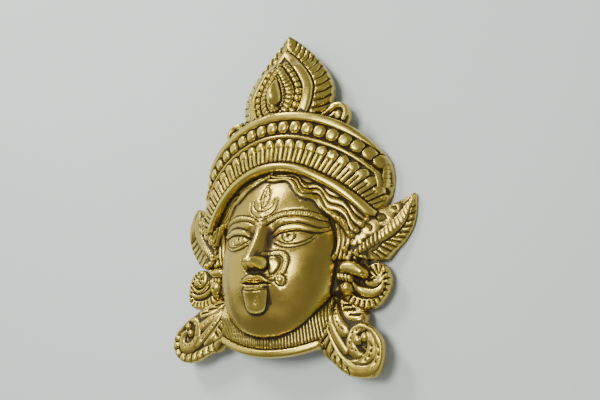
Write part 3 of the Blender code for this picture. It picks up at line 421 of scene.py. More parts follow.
def forehead(front):
    """a small leaf over two crescents, cut in"""
    for side in (RIGHT, LEFT):
        front.groove([(-0.4 * side, 125.5), (2.6, 120.5), (3.7, 115.5), (2.4, 110.5),
                      (-0.6 * side, 107.2)], [0.4, 0.6, 0.6, 0.6, 0.4], 0.55, side)
        for start, end in (((0.2, 116), (2.6, 119.5)), ((0.2, 111.5), (2.8, 114.5))):
            front.groove([start, end], 0.4, 0.35, side)
        front.groove([(9.5, 114.5), (8.4, 109.5), (5.4, 106.2), (0, 104.6)], [0.3, 0.6, 0.7, 0.7],
                     0.6, side)
        front.groove([(12, 112.8), (10.4, 105.6), (5.5, 101.6), (0, 100.2)], [0.3, 0.6, 0.7, 0.7],
                     0.6, side)
    front.groove([(-0.5, 124), (-0.6, 116), (-0.7, 108.5)], 0.5, 0.5)


def crown_surface(x, y):
    """the crown is bent around the head, so it falls away to both sides"""
    reach = x / np.where(x > 0, CROWN_HALF_WIDTH[RIGHT], CROWN_HALF_WIDTH[LEFT])
    return CROWN_SIDE + CROWN_RISE * np.clip(1 - reach ** 2, 0, 1) ** 0.62


def flare(angle):
    """how much wider the crown's inner and outer arcs are at an angle; only its right end flares"""
    inner = 1 + 0.12 * np.clip((angle - FLARE_START) / 35, 0, 1.1) ** 1.6
    outer = 1 + 0.045 * np.clip((angle - 22) / 28, 0, 1) ** 1.2
    return inner, outer


def crown_arc(radius, start, end, steps=28):
    """points of one of the crown's arcs, angles in degrees from the middle line"""
    angle = np.linspace(start, end, steps)
    inner, outer = flare(angle)
    reach = radius * (inner if radius < PETAL_INNER else outer)
    turn = np.radians(angle)
    return np.column_stack([reach * np.sin(turn), CROWN_CENTRE + reach * np.cos(turn)])


def crown_polar(x, y):
    """radius and angle about the crown's centre, with the flare taken out"""
    radius = np.hypot(x, y - CROWN_CENTRE)
    angle = np.degrees(np.arctan2(x, y - CROWN_CENTRE))
    inner, outer = flare(angle)
    low, high = PETAL_INNER * inner, PETAL_OUTER * outer
    grown = inner + (outer - inner) * np.clip((radius - low) / (high - low), 0, 1)
    return radius / grown, angle + 0.5 * np.clip((angle - FLARE_START) / 10, 0, None) ** 2


def ridge(away, half_width, rise, power=2.0):
    """height of a rounded ridge at a distance from its middle line"""
    return rise * np.sqrt(np.clip(1 - np.abs(away / half_width) ** power, 0, 1))


def petals(radius, angle):
    """height of a ring of petals: round tips, sloping feet and a slot up the middle of each"""
    step = angle / PITCH + PETAL_OFFSET
    across = np.abs(step - np.round(step)) * np.radians(PITCH) * radius
    half_width = np.radians(PITCH) * radius / 2 - 0.3
    share = np.clip(across / half_width, 0, 1)
    tip = np.clip((PETAL_OUTER + 1.2 - 2.6 * share ** 1.6 - radius) / 1.3, 0, 1)
    foot = np.clip((radius - PETAL_INNER) / 0.9, 0, 1)
    body = np.sqrt(np.clip(1 - share ** 5, 0, 1))
    body = body * np.sqrt(1 - (1 - tip) ** 2) * np.sqrt(1 - (1 - foot) ** 2)
    body *= 2.0 + 0.7 * ramp(85.4, 87.4, radius)
    slot = ramp(0.55 + 0.06 * (86 - radius), 0.1, across) * ramp(86, 84.5, radius)
    body = np.maximum(body - 1.5 * slot * (body > 0), 0)
    shown = (step > -(PETAL_COUNT // 2) - 0.5) & (step < PETAL_COUNT // 2 + 1.5)
    return np.where(shown, body, 0)


def beads(front):
    """a row of domed beads, closer together at the crown's right end"""
    for index in range(-(BEAD_COUNT // 2), BEAD_COUNT // 2):
        angle = PITCH * index - 0.45 * max(0, (PITCH * index - FLARE_START) / 10) ** 2
        turn = math.radians(angle)
        reach = BEAD_RADIUS * flare(angle)[1]
        front.dome(reach * math.sin(turn), CROWN_CENTRE + reach * math.cos(turn),
                   BEAD_ACROSS, BEAD_ALONG, BEAD_RISE, -angle, 2.6, 1.7)


def crown(front):
    """rims, petals and cord by radius and angle about the crown's centre, and a row of beads"""
    angle = np.linspace(-42.6, 46.5, 60)
    outer = np.interp(angle, (33, 36.3, 41, 46.5), (TOP_RIM_OUTER, 112.7, 112, 110.2))
    inner = np.interp(angle, (28, 34, 39.6, 43.6, 46.5), (TOP_RIM_INNER, 107, 107.9, 109.1, 110))
    way = np.column_stack([np.sin(np.radians(angle)), np.cos(np.radians(angle))])
    right_side = [(82.4, 137.8), (83.8, 133), (84.5, 127.5), (84.4, 121), (83, 114.9),
                  (80.4, 109.6), (75.5, 100)]
    left_side = [(-69.7, 97.5), (-80.1, 115), (-80.5, 127), (-79.3, 135)]
    outline = np.vstack([way * outer[:, None] + (0, CROWN_CENTRE), right_side,
                         crown_arc(RIM_INNER, 64, -62), left_side])
    front.plate(outline, crown_surface, 1.5)
    on_crown = signed_distance(outline, front.x, front.y) < 0
    middle = way * (outer + inner)[:, None] / 2 + (0, CROWN_CENTRE)
    front.cord(middle, (outer - inner) / 2, 2.6, curved=False, power=3.2)
    radius, angle = crown_polar(front.x, front.y)
    rim_middle, rim_half_width = (RIM_INNER + RIM_OUTER) / 2, (RIM_OUTER - RIM_INNER) / 2
    for layer in (ridge(radius - rim_middle, rim_half_width, 3.0, 2.4),
                  ridge(radius - CORD_RADIUS, CORD_HALF_WIDTH, CORD_RISE), petals(radius, angle)):
        front.layer = np.maximum(front.layer, layer)
    beads(front)
    for points, widths in (([(81.6, 133.4), (82, 127), (81.2, 120.4)], [2.2, 2.9, 2.0]),
                           ([(76.4, 127.6), (78.4, 121.6), (77.6, 116)], [1.0, 2.2, 1.0])):
        front.cord(points, widths, 2.8)
    front.z += np.where(on_crown, front.layer, 0)
    front.layer[:] = 0
    for x, y in ((80.4, 131), (80.8, 128), (80.8, 125), (80.4, 122)):
        front.groove([(x, y), (x + 3, y + 0.6)], 0.45, 0.7)


def teardrop(half_width, tip, bottom, widest=FINIAL_WIDEST, steps=14):
    """closed teardrop: a pointed top over the widest line and half an oval below it"""
    rise = np.linspace(0, 1, steps)
    upper = np.column_stack([half_width * (1 - rise ** FINIAL_POWER),
                             widest + (tip - widest) * rise])
    turn = np.radians(np.linspace(0, 90, steps)[1:])
    lower = np.column_stack([half_width * np.cos(turn), widest - (widest - bottom) * np.sin(turn)])
    half = np.vstack([lower[::-1], upper])
    return np.vstack([half, (half * (-1, 1))[-2:0:-1]])


def nested(half_width):
    """the right half of the teardrop of that half width, from its foot up to its tip"""
    widths = (5.4, 8.0, 12.5, 15.5, 18.6, 22.0, 25.2, 30.0, FINIAL_HALF_WIDTH)
    tips = (207.5, 211, 216, 219.5, 224.5, 228.5, 231.5, 236, FINIAL_TIP)
    bottoms = (185, 181, 177, 174, 171, 168, 165, 160, FINIAL_FOOT)
    tip, bottom = np.interp(half_width, widths, tips), np.interp(half_width, widths, bottoms)
    widest = np.interp(half_width, (5.4, 15.5, 30.0), (191.5, 194.5, FINIAL_WIDEST))
    whole = teardrop(half_width, tip, bottom, widest)
    return whole[:len(whole) // 2 + 1]


def finial(front):
    """nested teardrops: a feathered border, a plain band, a bead chain, a pebbled band and a gem"""
    outline = teardrop(FINIAL_HALF_WIDTH, FINIAL_TIP, FINIAL_FOOT)

    def surface(x, y):
        depth = np.clip(-signed_distance(outline, x, y), 0, None)
        lean = 4.5 * ramp(214, 226, y) * ramp(250, 240, y) * (1 - np.exp(-depth / 6))
        swell = 4.0 * np.exp(-(x / 10) ** 2 - ((y - 195) / 15) ** 2)
        return FINIAL_EDGE + FINIAL_RISE * (1 - np.exp(-depth / 14)) - lean + swell

    front.plate(outline, surface, 1.2)
    for side in (RIGHT, LEFT):
        curl = [(36, 184), (41, 185.5), (47, 184.5), (52.5, 181.5), (55.5, 175), (53, 166),
                (40, 160)]
        front.plate(closed_curve(curl, side), FINIAL_EDGE, 1.6)
    for side in (RIGHT, LEFT):
        front.cord(nested(25.2), 3.4, 1.7, side, False, 4)
        front.cord(nested(12.2), 2.9, 1.5, side, False, 2.6)
        for (x, y), (along, up) in zip(*spaced(nested(18.6), 5.2, 2.0)):
            turn = math.degrees(math.atan2(up, along)) - 90
            front.dome(side * x, y, 2.2, 2.4, 1.9, side * turn, 3)
        front.cord([(34, 172), (38, 177.5), (44, 181.6), (50, 181.2), (53.4, 176), (51.5, 170)],
                   [1.4, 2.4, 2.7, 2.6, 2.2, 1.6], 2.4, side)
        front.dome(side * 47.6, 173.8, 3.4, 4.0, 2.8)
        front.cord([(36, 168), (40, 172.5), (44.4, 176.2)], [2.0, 2.2, 1.2], 1.8, side)
    gem(front)
    front.dome(0, 182.3, 3.7, 3.7, 3.9)
    front.settle()
    for side in (RIGHT, LEFT):
        for half_width, width, depth in ((29.4, 0.9, 1.5), (21.4, 0.7, 1.2), (15.9, 0.8, 1.4),
                                         (8.9, 0.8, 1.2), (6.3, 0.7, 1.2)):
            front.groove(nested(half_width), width, depth, side, False)
        front.hatch(nested(12.2), 3.4, 1.0, 2.6, 2.6, 0.6, 0.8, side)
        front.pits(spaced(nested(7.6), 2.3, 1.0)[0], 0.7, 0.8, side)
        barbs(front, side)


def gem(front):
    """a smooth drop: pointed above its widest line and round below, domed across"""
    above = np.clip((front.y - GEM_MIDDLE) / GEM_ABOVE, 0, 1)
    below = np.clip((GEM_MIDDLE - front.y) / GEM_BELOW, 0, 1)
    half_width = GEM_HALF_WIDTH * np.where(front.y > GEM_MIDDLE, 1 - above ** 1.6,
                                           np.sqrt(1 - below ** 2))
    across = np.clip(1 - (front.x / np.maximum(half_width, 1e-3)) ** 2, 0, 1)
    drop = GEM_RISE * across ** 0.7 * (half_width / GEM_HALF_WIDTH) ** 0.8
    front.layer = np.maximum(front.layer, drop)


def barbs(front, side):
    """slots that climb outward over the finial's border and widen to its edge"""
    outer = nested(39.8)
    outer = outer[np.argmax(outer[:, 0]):]
    starts, _ = spaced(nested(30.6), 5.6, 4.0)
    for x, y in starts:
        top = y + 5.0 + 4.5 * ramp(180, 225, y)
        if y < 163 or top > FINIAL_TIP - 6:
            continue
        end = (np.interp(top, outer[:, 1], outer[:, 0]), top)
        bend = (0.5 * (x + end[0]) + 1.0, 0.5 * (y + top) - 0.8)
        front.groove([(x, y), bend, end], [0.4, 1.0, 1.5], 2.0, side)


def hair_surface(x, y):
    """an arch that falls to both sides, and lies on the face where that is higher"""
    reach = x / np.where(x > 0, 78, 66)
    arch = 24.5 * np.sqrt(np.clip(1 - reach ** 2, 0, 1))
    return np.maximum(arch, face_surface(x, y) + 1) - 0.9


def temple_surface(x, y):
    """falls towards the ear's lower end"""
    return 12.5 + 4.5 * ramp(84, 104, y)


def hair(front):
    """wavy locks from the parting to the ears, spread between the brow and the crown"""
    edges = {
        RIGHT: [(-1, 128.2), (5.3, 127.2), (11, 127.8), (16.1, 126.6), (20.8, 122.7), (23.1, 118.9),
                (27.7, 114.5), (33.5, 113.3), (37.5, 110.8), (40.6, 106.2), (44, 102.5), (49, 99.3),
                (53.8, 95.2), (57, 91), (59, 86.5)],
        LEFT: [(1, 129.5), (6.6, 129), (12.6, 125.9), (19.4, 122.4), (24.4, 117.9), (28, 115.8),
               (32.1, 115.1), (37, 111), (40.5, 106), (44, 102), (48, 98.5), (51.5, 94), (55, 88)]}
    for side in (RIGHT, LEFT):
        temple = [(45, 103), (54, 100), (60, 94), (61, 86), (58.5, 77), (55, 71), (47, 71)]
        front.plate(np.array(mirrored(temple, side)), temple_surface, 0.8)
        for near, far in ((49.6, 49.4), (52.8, 52.6), (56.4, 55.8)):
            lock = [(near - 3, 104), (near + 0.4, 98), (far + 1.6, 90), (far + 1.2, 82),
                    (far - 1.2, 73)]
            front.cord(lock, [1.5, 1.9, 2.0, 1.8, 1.0], 2.2, side)
        front.settle()
        edge = smooth_curve(edges[side], steps=5)
        rim = crown_arc(RIM_INNER + 1.0, -side, {RIGHT: 64, LEFT: -67}[side], len(edge)) * (side, 1)
        front.plate(np.vstack([edge, rim[::-1]]) * (side, 1), hair_surface, 0.8)
        gap = np.hypot(*(rim - edge).T)
        run = np.linspace(0, 1, len(edge))
        widths = np.clip(gap / LOCKS * 0.7, 1.1, 2.6)

        def strand(share, phase, height=0.11):
            """a wavy line between the hair's edge and the crown"""
            wave = height * np.sin(run * 7.5 * math.pi + 0.6 + phase) * (1 - 0.35 * run)
            return (edge + (rim - edge) * (share + wave)[:, None])[::2]

        for index in range(LOCKS):
            lock = strand((index + 0.45) / LOCKS, 0.5 * index, 0.11 if index else 0)
            front.cord(lock, widths[::2], 2.4 - 0.25 * index, side, True, 2.2)
        front.settle()
        for index in range(1, LOCKS):
            front.groove(strand(index / LOCKS, 0.5 * index - 0.25), 0.75, 1.0, side)


def collar_surface(x, y):
    """bowed across, and sunk under the chin"""
    fall = (COLLAR_MIDDLE - COLLAR_CORNER) * (x / COLLAR_HALF_WIDTH) ** 2
    return COLLAR_MIDDLE - fall - 8 * ramp(32, 55, y)


def collar(front):
    """a band of pleats that fan from over the chin, with a plain rim below"""
    wide = COLLAR_HALF_WIDTH
    x = np.linspace(-wide, wide, 17)
    bottom = np.column_stack([x, COLLAR_BOTTOM + COLLAR_CURVE * (x / wide) ** 2])
    upper = [(wide + 5, 35), (wide + 5, 60), (-wide - 5, 60), (-wide - 5, 35)]
    outline = np.vstack([bottom, upper])
    front.plate(outline, collar_surface, 1.2)
    front.cord(bottom + (0, 2.7), 2.7, 1.7, curved=False)
    part = front.near(outline, 0)
    fx, fy = front.x[part], front.y[part]
    above = fy - (COLLAR_BOTTOM + COLLAR_CURVE * (fx / wide) ** 2)
    angle = np.degrees(np.arctan2(fx, PLEAT_CENTRE - fy))
    fine = np.abs(np.sin(math.pi * (angle / 0.6)))
    coarse = 1.15 * np.abs(np.sin(math.pi * (angle / 0.78))) ** 0.7
    wave = np.where(fx < -2, fine, coarse)
    front.settle()
    front.z[part] += np.where(above > 5.6, wave - 0.6, 0) * ramp(5.4, 6.4, above)
    front.groove(bottom + (0, 5.7), 0.7, 1.0, curved=False)


def leaf_surface(x, y):
    """falls away outward"""
    return LEAF_INNER - (LEAF_INNER - LEAF_OUTER) * ramp(58, 100, np.abs(x))


RIGHT_LEAF = {
    "rib": ([(63.6, 76.9), (68.4, 80), (73.5, 83.8), (78.5, 87), (83.5, 90.7), (88, 95),
        (92.1, 99.8), (95.8, 106), (98.8, 112.5)], [1.8, 2.6, 3.1, 3.4, 3.6, 3.8, 3.6, 2.8, 0.8]),
    "scallops": [(72.3, 93.4, 5.0), (80.3, 100.4, 5.5), (87.2, 105.6, 3.2), (68.2, 87.4, 2.1),
        (64.6, 86.2, 2.0), (61.7, 83.2, 2.0), (66.0, 83.6, 1.6)],
    "curls": [[(70.2, 94.9), (72.3, 94.3), (73.5, 93), (72.9, 90.8)], [(78.3, 101.4), (80.8, 100.8),
        (82, 98.6), (80, 97.3), (78.2, 96.8)], [(86, 106.4), (87.8, 106.2), (88.2, 104.4)]],
    "roots": [(73.7, 76.8), (76.7, 77.8), (78.6, 80.5), (81.1, 82.7), (84.1, 84.8), (87.1, 86.6),
        (90.1, 89.4), (92.7, 92.8), (95.0, 96.6), (96.8, 101.2), (98.2, 105.6)],
    "tips": [(78.4, 72.9), (83.2, 73), (86.7, 76.3), (89.6, 79.5), (91.8, 83), (93.8, 86.4),
        (95.8, 90), (97.6, 94), (99, 98.4), (99.8, 103.4), (100.2, 108.6)]}
LEFT_LEAF = {
    "rib": ([(58.2, 76.6), (66.4, 82.8), (75.6, 89.4), (83, 96.4), (87.6, 104), (88.4, 111),
        (86.6, 117.4)], [1.8, 3.0, 3.6, 4.2, 4.6, 4.4, 2.2]),
    "scallops": [(76.5, 103.6, 4.0), (69.5, 98.3, 4.0), (62.8, 93, 3.8), (80.8, 109.4, 2.8),
        (58.8, 88, 2.4)],
    "curls": [[(x - 1.8, y + 1.2), (x + 0.8, y + 1.9), (x + 2.2, y - 0.4), (x + 0.2, y - 2.0),
        (x - 0.8, y - 0.4)] for x, y in ((76.5, 103.6), (69.5, 98.3), (62.8, 93))]
        + [[(79.4, 110.2), (81.4, 110.6), (82.2, 108.8)]],
    "roots": [(68, 79), (73, 82.2), (77.6, 85.6), (81.6, 89.2), (85.4, 93), (88.8, 97)],
    "tips": [(74, 72.8), (80, 75), (85.4, 78.8), (89.6, 83.4), (92.8, 88), (95.2, 93)]}


def leaf(front, side):
    """a leaf behind the ear: a notched midrib, barbs below it and curled scallops above"""
    front.plate(closed_curve(LEAF_OUTLINE[side], side), leaf_surface, 1.6)
    marks = RIGHT_LEAF if side == RIGHT else LEFT_LEAF
    rib, widths = marks["rib"]
    front.cord(rib, widths, 1.5, side, power=2.6)
    rise = 1.0 if side == RIGHT else 2.4
    for x, y, radius in marks["scallops"]:
        front.dome(side * x, y, 1.3 * radius, 1.3 * radius, rise, power=2.4, flat=1.8)
    front.settle()
    for (ax, ay), (bx, by) in zip(marks["roots"], marks["tips"]):
        bend = ((ax + bx) / 2 + 0.5, (ay + by) / 2 - 0.3)
        front.groove([(ax, ay), bend, (bx, by)], [0.5, 0.8, 0.9], 1.1, side)
    front.groove([(x - 0.6, y + 0.6) for x, y in marks["roots"]], 0.7, 0.8, side)
    points, way = spaced(smooth_curve(rib), 2.9, 2.0)
    for index, (point, (along, up)) in enumerate(zip(points, way)):
        half = 0.9 * np.interp(index / len(points), np.linspace(0, 1, len(widths)), widths)
        across = np.array([-up, along]) * half
        lean = np.array([along, up]) * 0.5 * half
        width, depth = (0.6, 0.8) if index < 6 else (0.4, 0.25)
        front.groove([point - across - lean, point + across + lean], width, depth, side)
    for curl in marks["curls"]:
        front.groove(curl, 0.6, 0.8 if side == RIGHT else 1.0, side)


RIGHT_EAR = {
    "disc": (76.6, 61.8, 9.4, 9.0),
    "crescents": [
        ([(61.4, 57.2), (64.5, 53.6), (69.3, 51.6), (74.6, 51.4), (79.2, 54), (82, 58.3)],
         [0.8, 2.3, 2.9, 2.7, 2.2, 1.2])],
    "lines": [
        [(66.6, 58.2), (69.2, 55.8), (72.8, 54.4), (76.9, 54.6), (80, 57)],
        [(58.5, 52.6), (62.5, 49.6), (69, 47.8), (75.5, 48), (80.6, 50.8), (83.2, 55)]],
    "strokes": [((71.9, 67), (77.3, 61.4)), ((76, 68.4), (77.8, 63.3)),
        ((79.9, 67.8), (78.7, 63.2)), ((83.6, 65.6), (81, 61.9)), ((69.6, 62.7), (73.8, 61.5)),
        ((71, 58.8), (76, 60)), ((84.8, 60.4), (81.8, 58.8)), ((85.4, 56.2), (82.4, 55.7))],
    "fringe": ([(56, 50), (61, 46), (68, 44.2), (75, 44.8), (80.8, 48.4), (83.4, 53.6), (84, 59),
        (83, 64)], [2.6, 3.4, 3.7, 3.6, 3.2, 2.6, 2.2, 1.6]),
    "cap": [(52.2, 66.5), (53.8, 70.2), (60, 71.2), (65.7, 69.5), (70.6, 65.6), (72.2, 62),
        (69.7, 59.9), (65, 61), (59, 63), (53.6, 63.6)],
    "band": [(51.6, 61.5), (54.3, 61.2), (57, 60.8), (59.8, 60.2)],
    "drop": (56.6, 53.8, 4.4, 4.4),
    "hole": (55.1, 55.7)}
LEFT_EAR = {
    "disc": (76.4, 63.6, 7.2, 6.8),
    "crescents": [
        ([(66, 61), (69, 57), (73, 54), (78.5, 53.6), (82.6, 57)], [0.8, 1.6, 1.9, 1.8, 1.2]),
        ([(62, 58), (64.5, 54.5), (70, 51), (76.5, 49.8), (82, 51.5), (84.5, 56)],
         [0.6, 1.3, 1.8, 1.8, 1.6, 1.2])],
    "lines": [
        [(67.6, 62), (70, 57.6), (73.6, 55.9), (78, 55.8)],
        [(65, 56.6), (70, 53), (76, 51.8), (81, 53.2)]],
    "strokes": [((73.2, 68), (75.8, 65.4)), ((72.2, 63.4), (75.4, 63.2)), ((78, 69), (77.4, 66)),
        ((81.4, 66.4), (79, 64.6)), ((74.4, 59.6), (76.2, 61.4))],
    "fringe": ([(57, 51), (61.5, 47), (67, 44.4), (74, 43.3), (80, 44), (84, 48), (85, 54),
        (84.6, 60), (82, 66)], [2.4, 3.0, 3.2, 3.2, 3.0, 2.6, 2.4, 2.2, 1.6]),
    "cap": [(61.5, 66.1), (59.5, 69.3), (54.1, 70.3), (47.7, 69.8), (45.6, 66.3), (48, 63.3),
        (57.1, 63.3)],
    "band": [(52, 60.8), (55, 61.4), (58.4, 61.2), (61.4, 60)],
    "drop": (56.8, 56.6, 5.6, 5.4),
    "hole": (56.9, 54.8)}


EAR_KNOBS = [(59.3, 76.2, 2.6), (55.6, 79, 2.2), (63, 73.8, 2.6), (57.4, 73, 2.4),
             (67.6, 72.6, 2.6), (66.4, 69.6, 2.2)]


def ear_surface(x, y):
    """rises towards the head and falls to the lower end"""
    return 8 + 3.8 * ramp(67, 58, np.abs(x)) - 4 * ramp(53, 47, y)


def ear(front, side):
    """a barrel cap, a short bead band, a drop and a volute with a rayed disc and a fringe"""
    base = np.array(mirrored([(42, 48), (44, 97), (60, 92), (68, 78), (68, 60), (62, 49)], side))
    front.plate(base, ear_surface, 2.0)
    front.plate(closed_curve(VOLUTE_OUTLINE[side], side), EAR_TOP, 1.6)
    marks = RIGHT_EAR if side == RIGHT else LEFT_EAR
    x, y, across, along = marks["disc"]
    front.dome(side * x, y, across, along, 1.7, power=2.6, flat=1.5)
    for points, widths in marks["crescents"]:
        front.cord(points, 1.1 * np.array(widths), 2.0, side)
    points, widths = marks["fringe"]
    front.cord(points, 1.1 * np.array(widths), 1.7, side, power=3)
    for x, y in marks["band"]:
        front.dome(side * x, y, 1.9, 2.9, 3.4, power=2.6)
    for x, y, radius in EAR_KNOBS:
        front.dome(side * x, y, radius, radius, 2.6, power=2.4)
    x, y, across, along = marks["drop"]
    front.dome(side * x, y, across, along, 3.6)
    front.settle()
    front.plate(closed_curve(marks["cap"], side), EAR_CAP_TOP, 3.6)
    for line in marks["lines"]:
        front.groove(line, 0.8, 1.2, side)
    for start, end in marks["strokes"]:
        front.groove([start, end], [1.0, 0.45], 1.4, side)
    front.hatch(smooth_curve(points), 3.7, 3.0, 3.0, 1.4, [0.35, 1.15], 1.7, side)
    front.pits([marks["hole"]], 1.1, 1.4, side)


def scroll_surface(x, y):
    """sinks towards its upper end, under the ear"""
    return SCROLL_TOP - SCROLL_TUCK * ramp(30, 50, y)


RIGHT_SCROLL = {
    "border": ([(43, 37), (43.5, 30), (45.5, 23), (49, 16.5), (54, 10.5), (60.5, 6), (68, 3.6),
        (75.5, 4.2), (81, 8.3), (83, 15), (82, 22), (78.5, 27.5), (74, 29.5)], [1.5, 2.6, 3.6, 4, 4,
        4, 3.6, 3.4, 3.2, 3, 2.8, 2.4, 1.4]),
    "bands": [
        ([(64, 9), (69, 8.8), (74.4, 11), (77.6, 15.4), (78, 20), (75.6, 24.4)],
         [0.8, 1.6, 2.6, 3.2, 3.2, 2.6], 2.2),
        ([(74, 30), (69.5, 29.3), (65, 26.5), (63, 21.5), (64, 16.5), (67.5, 13.2), (70.5, 13.5)],
         [1.4, 2.2, 2.6, 2.7, 3, 2.6, 1.5], 2.5),
        ([(45.8, 43), (47, 35), (50, 27), (54.5, 20), (59.3, 15)], [0.6, 1.5, 2, 2.6, 2], 2.4),
        ([(47.8, 44), (50.5, 37), (54, 31), (57.3, 27)], [0.6, 1.9, 2.8, 3.3], 2.5),
        ([(50.4, 47.2), (55, 42.6), (60.4, 39.4), (66.6, 37.4)], [0.8, 2.6, 4.0, 3.6], 2.4)],
    "balls": [(67.6, 21.6, 3.3), (72.4, 23.6, 3.1)],
    "strokes": [((41.5, 18.5), (46, 24.5)), ((44.3, 15), (47.8, 20.7)), ((48.2, 10.8), (51, 15.7)),
        ((52.3, 7.5), (52.2, 11)), ((57.3, 3.3), (56.7, 9.3)), ((63, 1.2), (61.3, 4.8)),
        ((41.5, 28.7), (45, 33)), ((41, 24.5), (45.2, 29.3)), ((42, 33), (44.8, 37))],
    "slits": [((53.6, 43.6), (59.4, 43.6)), ((55.4, 40.8), (62.6, 40.6)), ((60.6, 37), (68, 37.4))],
    "dots": [(71, 28.5), (67, 27.5), (64, 26), (62.7, 22.5), (62.3, 19.5), (64.5, 16), (67, 15.5),
        (70, 17), (73, 17.5), (48.8, 40.5), (49.8, 37.7), (51, 35), (52.5, 32.2), (54, 29.8),
        (56.7, 28.2), (73.4, 10), (76.2, 12.4), (77.4, 15.6), (77.6, 18.6), (80.5, 9.5),
        (82.3, 13.5), (82, 18)],
    "hole": (71.4, 15.6, 1.8)}
LEFT_SCROLL = {
    "border": ([(44, 17.5), (50, 13), (58, 9.3), (64, 6.3), (71, 4.3), (78, 3.9), (84, 5.8),
        (87.6, 10), (88.4, 16), (86.6, 22), (82, 27.5), (77, 31.5)], [1.6, 3, 3.6, 3.4, 3.2, 3.0,
        2.8, 2.8, 3, 2.8, 2.2, 1.4]),
    "bands": [
        ([(43, 36), (41.5, 31), (42, 26), (45, 22), (49, 18.5)], [1.6, 2.8, 3.4, 3.2, 2.0], 2.4),
        ([(45.6, 30), (48.6, 24), (53.4, 18.6), (58.6, 14.8)], [1.4, 2.6, 2.8, 1.4], 2.2),
        ([(45, 40), (50, 31.5), (56, 24.6), (62, 18.5), (66.5, 13.5)],
         [0.6, 2, 2.7, 2.6, 1.6], 2.4),
        ([(44.5, 45), (50, 37.6), (57, 31.5), (62.5, 27.5)], [0.6, 2.4, 3.2, 3.0], 2.5),
        ([(45, 47), (51, 44), (58, 40.4), (65, 37.6)], [0.8, 2.6, 3.8, 3.4], 2.4),
        ([(76, 32.5), (70.5, 31), (67.5, 26.5), (67.3, 20), (69.5, 14.5), (74, 11.5), (79.5, 11.5),
         (82.5, 15), (82, 20), (79, 23)], [1.2, 2.2, 2.4, 2.6, 3.2, 3.4, 3.2, 2.6, 2.4, 1.5], 2.5)],
    "balls": [(77.3, 27, 2.9), (74.3, 22.3, 3.0)],
    "strokes": [((48, 9.8), (50.5, 15.2)), ((53.5, 7.2), (55, 12.4)), ((59.5, 4.8), (60, 10.2)),
        ((65, 2.6), (65.6, 8.4)), ((71, 1.4), (71, 6.8)), ((77.5, 1), (76.6, 6.2)),
        ((84, 3.4), (81.6, 8)), ((89.4, 9), (84.8, 11.4)), ((90.8, 15.6), (85.8, 15.6)),
        ((89.4, 21.6), (84.8, 20))],
    "slits": [((39, 28.5), (43.5, 29.8)), ((42, 24), (46.5, 27)), ((50, 44.6), (56.5, 43)),
        ((54, 41.2), (61, 40)), ((60.6, 37.8), (66.5, 36.8)), ((46, 20.5), (49, 23))],
    "dots": [(50, 31), (52.5, 28), (55, 25.2), (58.6, 21.6), (61.6, 18.4), (47.5, 41), (50, 38),
        (53.5, 34.6), (57, 31.4), (61, 28.8), (71, 30), (69.5, 27.3), (68.6, 24), (68.2, 20.5),
        (70.3, 16.5), (74, 13.5), (78.5, 12.8)],
    "hole": (76.2, 18.0, 2.0)}


def scroll(front, side):
    """a lower scroll: a border that winds to a swirl with two balls, and long lobes beside it"""
    front.plate(closed_curve(SCROLL_OUTLINE[side], side), scroll_surface, 1.2)
    marks = RIGHT_SCROLL if side == RIGHT else LEFT_SCROLL
    points, widths = marks["border"]
    front.cord(points, 1.1 * np.array(widths), 1.6, side, power=3)
    for points, widths, rise in marks["bands"]:
        front.cord(points, 1.3 * np.array(widths), 0.65 * rise, side, power=3)
    for x, y, radius in marks["balls"]:
        front.dome(side * x, y, radius, radius, 2.6)
    front.settle()
    for start, end in marks["strokes"]:
        front.groove([start, end], [0.6, 1.0], 1.5, side)
    for start, end in marks["slits"]:
        front.groove([start, end], [0.7, 1.1], 1.7, side)
    front.pits(marks["dots"], 0.75, 1.0, side)
    x, y, radius = marks["hole"]
    front.pits([(x, y)], radius, 1.1, side)


def steps_within(radius):
    """steps over the grid that stay within a radius, and the length of each"""
    reach = int(radius / CELL)
    for down in range(-reach, reach + 1):
        for across in range(-reach, reach + 1):
            away = math.hypot(down, across) * CELL
            if away <= radius:
                yield (down, across), away


def eroded(height, edge, wall):
    """the highest surface that stays a wall's thickness behind the front"""
    solid = np.where(edge < 0, height, np.inf)
    back = np.full(height.shape, np.inf)
    for step, away in steps_within(wall):
        shifted = np.roll(solid, step, (0, 1))
        back = np.minimum(back, shifted - math.sqrt(wall ** 2 - away ** 2))
    return back


def near_outside(edge, width):
    """true within a width of the outside of the outline"""
    outside = edge >= 0
    near = np.zeros(edge.shape, bool)
    for step, _ in steps_within(width):
        near |= np.roll(outside, step, (0, 1))
    return near


def carve():
    """front and back heights over the drawing, in drawing units"""
    front = Front()
    finial(front)
    for side in (RIGHT, LEFT):
        leaf(front, side)
        scroll(front, side)
        ear(front, side)
    collar(front)
    face(front)
    hair(front)
    crown(front)
    front.z = front.closed()
    back = eroded(front.z, front.edge, WALL)
    skirt = near_outside(front.edge, SKIRT) & (front.y > SKIRT_LOW) & (front.y < SKIRT_HIGH)
    skirt &= np.abs(front.x) > SKIRT_INNER
    back = np.where(skirt, 0, np.clip(back, 0, None))
    return front, back


def sample(grid, front, x, y):
    """value of a grid between its points"""
    column = np.clip((x - front.x[0, 0]) / CELL, 0, grid.shape[1] - 1.001)
    row = np.clip((y - front.y[0, 0]) / CELL, 0, grid.shape[0] - 1.001)
    i, j = column.astype(int), row.astype(int)
    s, t = column - i, row - j
    return ((grid[j, i] * (1 - s) + grid[j, i + 1] * s) * (1 - t)
            + (grid[j + 1, i] * (1 - s) + grid[j + 1, i + 1] * s) * t)


